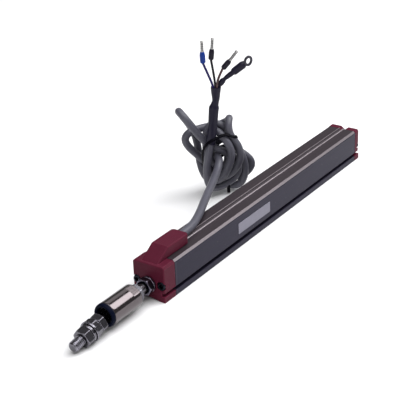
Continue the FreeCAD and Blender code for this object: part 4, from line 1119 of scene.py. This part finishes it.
class SENSOR_OT_cable_end(bpy.types.Operator):
    """Shrink the sleeves onto the cable's end and splay its cores with their ferrules and lug"""
    bl_idname = "sensor.cable_end"
    bl_label = "Cable end"

    def execute(self, context):
        self.sleeves(context)
        self.wires(context)
        for tint in FERRULES:
            self.ferrule(context, tint)
        self.lug(context)
        return {"FINISHED"}

    def sleeves(self, context):
        """Two shrunk sleeves: a tube pinched at the waist between them, with shallow winding folds."""
        foot, top = in_hank(SLEEVE_FOOT), in_hank(SLEEVE_TOP)
        long = np.linalg.norm(top - foot)
        ring = circle(1.0, 72)
        angle = np.arange(72) * 2 * math.pi / 72
        for name, node, start, end in (("sleeve_low", "lower_sleeve", 0.0, WAIST_AT),
                                       ("sleeve_high", "upper_sleeve", WAIST_AT, long)):
            along = np.linspace(start, end, 60)
            girth = np.interp(along, SLEEVE_GIRTH[0], SLEEVE_GIRTH[1])
            wound = along[:, None]
            folds = [high * np.sin(count * angle + twist * wound + first)
                     for high, count, twist, first in SLEEVE_FOLDS]
            radius = girth[:, None] * (1 + sum(folds))
            section = radius[..., None] * ring
            swayed = np.exp(-((along - WAIST_AT - SWAY_LONG) / SWAY_LONG) ** 2)
            sway = SLEEVE_SWAY * swayed[:, None] * HANK_ACROSS
            path = foot + (along / long)[:, None] * (top - foot) + sway
            mesh = carried_mesh(name, path, section, HANK_OUT)
            add_piece(context, name, mesh, "shrink_black", "housing", node)

    def wires(self, context):
        """Splayed cores: round tubes along quadratic splines; the screen's sleeve swells over its joints."""
        for name, spots in WIRES.items():
            path = spline_weights(len(spots), 96) @ at_end(spots)
            girth = np.full(len(path), CORE_RADIUS)
            if name == "screen_wire":
                girth = np.interp(np.linspace(0, 1, len(path)), SCREEN_GIRTH[0], SCREEN_GIRTH[1])
            mesh = carried_mesh(name + "_bent", path, circle(girth), HANK_OUT)
            add_piece(context, name + "_bent", mesh, SLOT_OF[name], "housing", name)

    def lug(self, context):
        """Ring lug: a flat ring turned about its eye, and the tongue back into the screen's sleeve."""
        start, eye = at_end([WIRES["screen_wire"][-1], LUG_EYE])
        inner, outer, half = LUG_RADII[0], LUG_RADII[1], LUG_THICK / 2
        middle = (inner + outer) / 2
        loop = [(-half, middle), (-half, outer), (half, outer), (half, inner), (-half, inner)]
        loop += loop[:1]
        turned = math.radians(LUG_TURN)
        axis = Axis(eye, math.cos(turned) * HANK_OUT + math.sin(turned) * HANK_ACROSS, Z_AXIS)
        mesh = turned_mesh("ring_lug", axis, eased(loop, 0.3)[:-1], 72, wrap=True)
        add_piece(context, "ring_lug", mesh, "tinned_copper", "housing", "ring_terminal", finish="dark_tin")
        reach = np.linspace(-0.1, 1.0, 12)[:, None]
        edge = eye + (start - eye) / np.linalg.norm(start - eye) * middle
        tongue = start * (1 - reach) + edge * reach
        mesh = carried_mesh("lug_tongue", tongue, circle(1.0) * (half, 1.0), HANK_OUT)
        add_piece(context, "lug_tongue", mesh, "tinned_copper", "housing", finish="dark_tin")

    def ferrule(self, context, tint):
        """Ferrule: a rounded collar turned about its own line, and a pin pressed into four crimped rows."""
        start, end, tip = at_end(FERRULES[tint])
        long = np.linalg.norm(end - start)
        axis = Axis(start, end - start, HANK_OUT)
        outline = eased([(0.3, 0.4), (0.0, 1.0), (0.1 * long, 1.4), (0.72 * long, 1.42), (0.93 * long, 1.15),
                         (long, 0.95), (long, 0.5)], 0.3)
        mesh = turned_mesh("collar_" + tint, axis, outline, 48)
        node = "ferrule_collar_" + tint
        add_piece(context, "collar_" + tint, mesh, SLOT_OF[node], "housing", node)
        reach = np.linalg.norm(tip - end)
        pin = Axis(end, tip - end, HANK_OUT)
        along = np.linspace(0.0, reach, 80)
        barrel = eased([(-PIN_ROOT, ON_AXIS), (-PIN_ROOT, PIN_RADIUS), (0.0, PIN_RADIUS)], 0.1)
        shaft = np.stack([along, np.full(len(along), PIN_RADIUS)], axis=-1)
        nose = eased([(reach, PIN_RADIUS), (reach + 0.25, 0.75 * PIN_RADIUS), (reach + 0.3, ON_AXIS)], 0.15)

        def crimped(distance, radius, angle):
            """Radius x (1 - press - square x cos(4 x angle) - ridge x cos(distance)), within the margins."""
            root, end = CRIMP_MARGINS
            entering = np.clip((distance - root) / CRIMP_EASE, 0, 1)
            leaving = np.clip((reach - end - distance) / CRIMP_EASE, 0, 1)
            ridges = CRIMP_RIDGE * np.cos(distance * 2 * math.pi / CRIMP_PITCH)
            square = CRIMP_SQUARE * np.cos(4 * angle)
            return radius * (1 - entering * leaving * (CRIMP_PRESS + square + ridges))

        mesh = turned_mesh("pin_" + tint, pin, np.concatenate([barrel, shaft, nose]), 48, crimped)
        piece = add_piece(context, "pin_" + tint, mesh, "tinned_copper", "housing")
        if tint == "blue":
            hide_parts("ferrule_pins")


class SENSOR_OT_inner_works(bpy.types.Operator):
    """Finish the wiper, its board and the other pieces inside the housing"""
    bl_idname = "sensor.inner_works"
    bl_label = "Inner works"

    def execute(self, context):
        dress(context, "wiper_carriage", "wiper_contacts", "track_board", "track_layers", "board_terminals")
        dress(context, "front_bumper", "rear_bumper", "inner_leads")
        return {"FINISHED"}


class SENSOR_OT_declare_cord(bpy.types.Operator):
    """Sample the cable's centreline and list the pieces that ride on it"""
    bl_idname = "sensor.declare_cord"
    bl_label = "Declare cord"

    def execute(self, context):
        cable = bpy.data.objects["signal_cable"]
        points = np.array([point.co[:3] for point in cable.data.splines[0].points])
        line = spline_weights(len(points), 24 * len(points)) @ points
        carried = ["hank_tie", "tie_end", "sleeve_low", "sleeve_high", "ring_lug", "lug_tongue"]
        carried += [name + "_bent" for name in WIRES]
        carried += [kind + tint for tint in FERRULES for kind in ("collar_", "pin_")]
        return {"FINISHED"}


class SENSOR_OT_stage(bpy.types.Operator):
    """Set the pale floor, the soft lights and the photograph's camera"""
    bl_idname = "sensor.stage"
    bl_label = "Stage"

    def execute(self, context):
        self.floor(context)
        self.lights(context)
        self.camera(context)
        return {"FINISHED"}

    def floor(self, context):
        """Flat pale sheet under the object, far wider than the picture."""
        corners = [(FLOOR_HALF * x, FLOOR_HALF * y, 0.0) for x, y in ((-1, -1), (1, -1), (1, 1), (-1, 1))]
        mesh = bpy.data.meshes.new("floor")
        mesh.from_pydata(corners, [], [(0, 1, 2, 3)])
        sheet = bpy.data.objects.new("floor", mesh)
        context.collection.objects.link(sheet)
        tone = Finish("studio_floor", {"Roughness": 0.9})
        cloud = tone.noise(3.0)
        rgb = context.scene.sensor_colours.floor
        pale = tone.mix(cloud, shade(rgb, 0.99), shade(rgb, 1.01))
        sheet.data.materials.append(tone.feed(Base_Color=pale))

    def lights(self, context):
        """Four soft panels and an even surround."""
        for name, (place, wide, high, energy) in LIGHTS.items():
            data = bpy.data.lights.new(name, "AREA")
            data.shape = "RECTANGLE"
            data.size = wide
            data.size_y = high
            data.energy = energy
            lamp = bpy.data.objects.new(name, data)
            lamp.location = place
            lamp.rotation_euler = (Vector(LIGHT_AIM) - Vector(place)).to_track_quat("-Z", "Y").to_euler()
            context.collection.objects.link(lamp)
        world = bpy.data.worlds.new("studio")
        world.use_nodes = True
        surround = world.node_tree.nodes["Background"]
        surround.inputs["Color"].default_value = (1.0, 1.0, 1.0, 1.0)
        surround.inputs["Strength"].default_value = SURROUND
        context.scene.world = world
        context.scene.view_settings.view_transform = "Standard"

    def camera(self, context):
        """Camera at the photograph's place: back along its line of sight, then rolled about it."""
        level = math.cos(ELEVATION)
        back = Vector((math.sin(AZIMUTH) * level, -math.cos(AZIMUTH) * level, math.sin(ELEVATION)))
        right = Vector(Z_AXIS).cross(back).normalized()
        up = back.cross(right)
        turned = Matrix((right, up, back)).transposed().to_4x4()
        roll = Matrix.Rotation(ROLL, 4, "Z")
        data = bpy.data.cameras.new("camera")
        data.sensor_width = FILM_WIDTH
        data.lens = FILM_WIDTH * FOCAL_PIXELS / PICTURE_PIXELS
        data.clip_start = 0.01
        camera = bpy.data.objects.new("camera", data)
        camera.matrix_world = Matrix.Translation(Vector(from_front(EYE) * MM)) @ turned @ roll
        context.collection.objects.link(camera)
        context.scene.camera = camera


BUILD_ORDER = (
    SENSOR_OT_housing, SENSOR_OT_label, SENSOR_OT_rod, SENSOR_OT_coupling, SENSOR_OT_stud, SENSOR_OT_cable,
    SENSOR_OT_cable_end, SENSOR_OT_inner_works, SENSOR_OT_declare_cord, SENSOR_OT_stage,
)


class SENSOR_PT_build(bpy.types.Panel):
    """Lists the sensor's pieces, sizes and colours"""
    bl_idname = "SENSOR_PT_build"
    bl_label = "Linear position sensor"
    bl_space_type = "VIEW_3D"
    bl_region_type = "UI"
    bl_category = "Sensor"

    def draw(self, context):
        for operator in BUILD_ORDER:
            self.layout.operator(operator.bl_idname)
        for group in (context.scene.sensor_sizes, context.scene.sensor_colours):
            for name in group.__annotations__:
                self.layout.prop(group, name)


CLASSES = (SensorSizes, SensorColours) + BUILD_ORDER + (SENSOR_PT_build,)


def register():
    """Register the classes and hang the sizes and colours on the scene."""
    for cls in CLASSES:
        bpy.utils.register_class(cls)
    bpy.types.Scene.sensor_sizes = PointerProperty(type=SensorSizes)
    bpy.types.Scene.sensor_colours = PointerProperty(type=SensorColours)


def unregister():
    """Take the sizes and colours off the scene and forget the classes."""
    del bpy.types.Scene.sensor_colours
    del bpy.types.Scene.sensor_sizes
    for cls in reversed(CLASSES):
        bpy.utils.unregister_class(cls)


def main():
    """Build every piece in order."""
    register()
    for operator in BUILD_ORDER:
        group, name = operator.bl_idname.split(".")
        getattr(getattr(bpy.ops, group), name)()


if __name__ == "__main__":
    main()
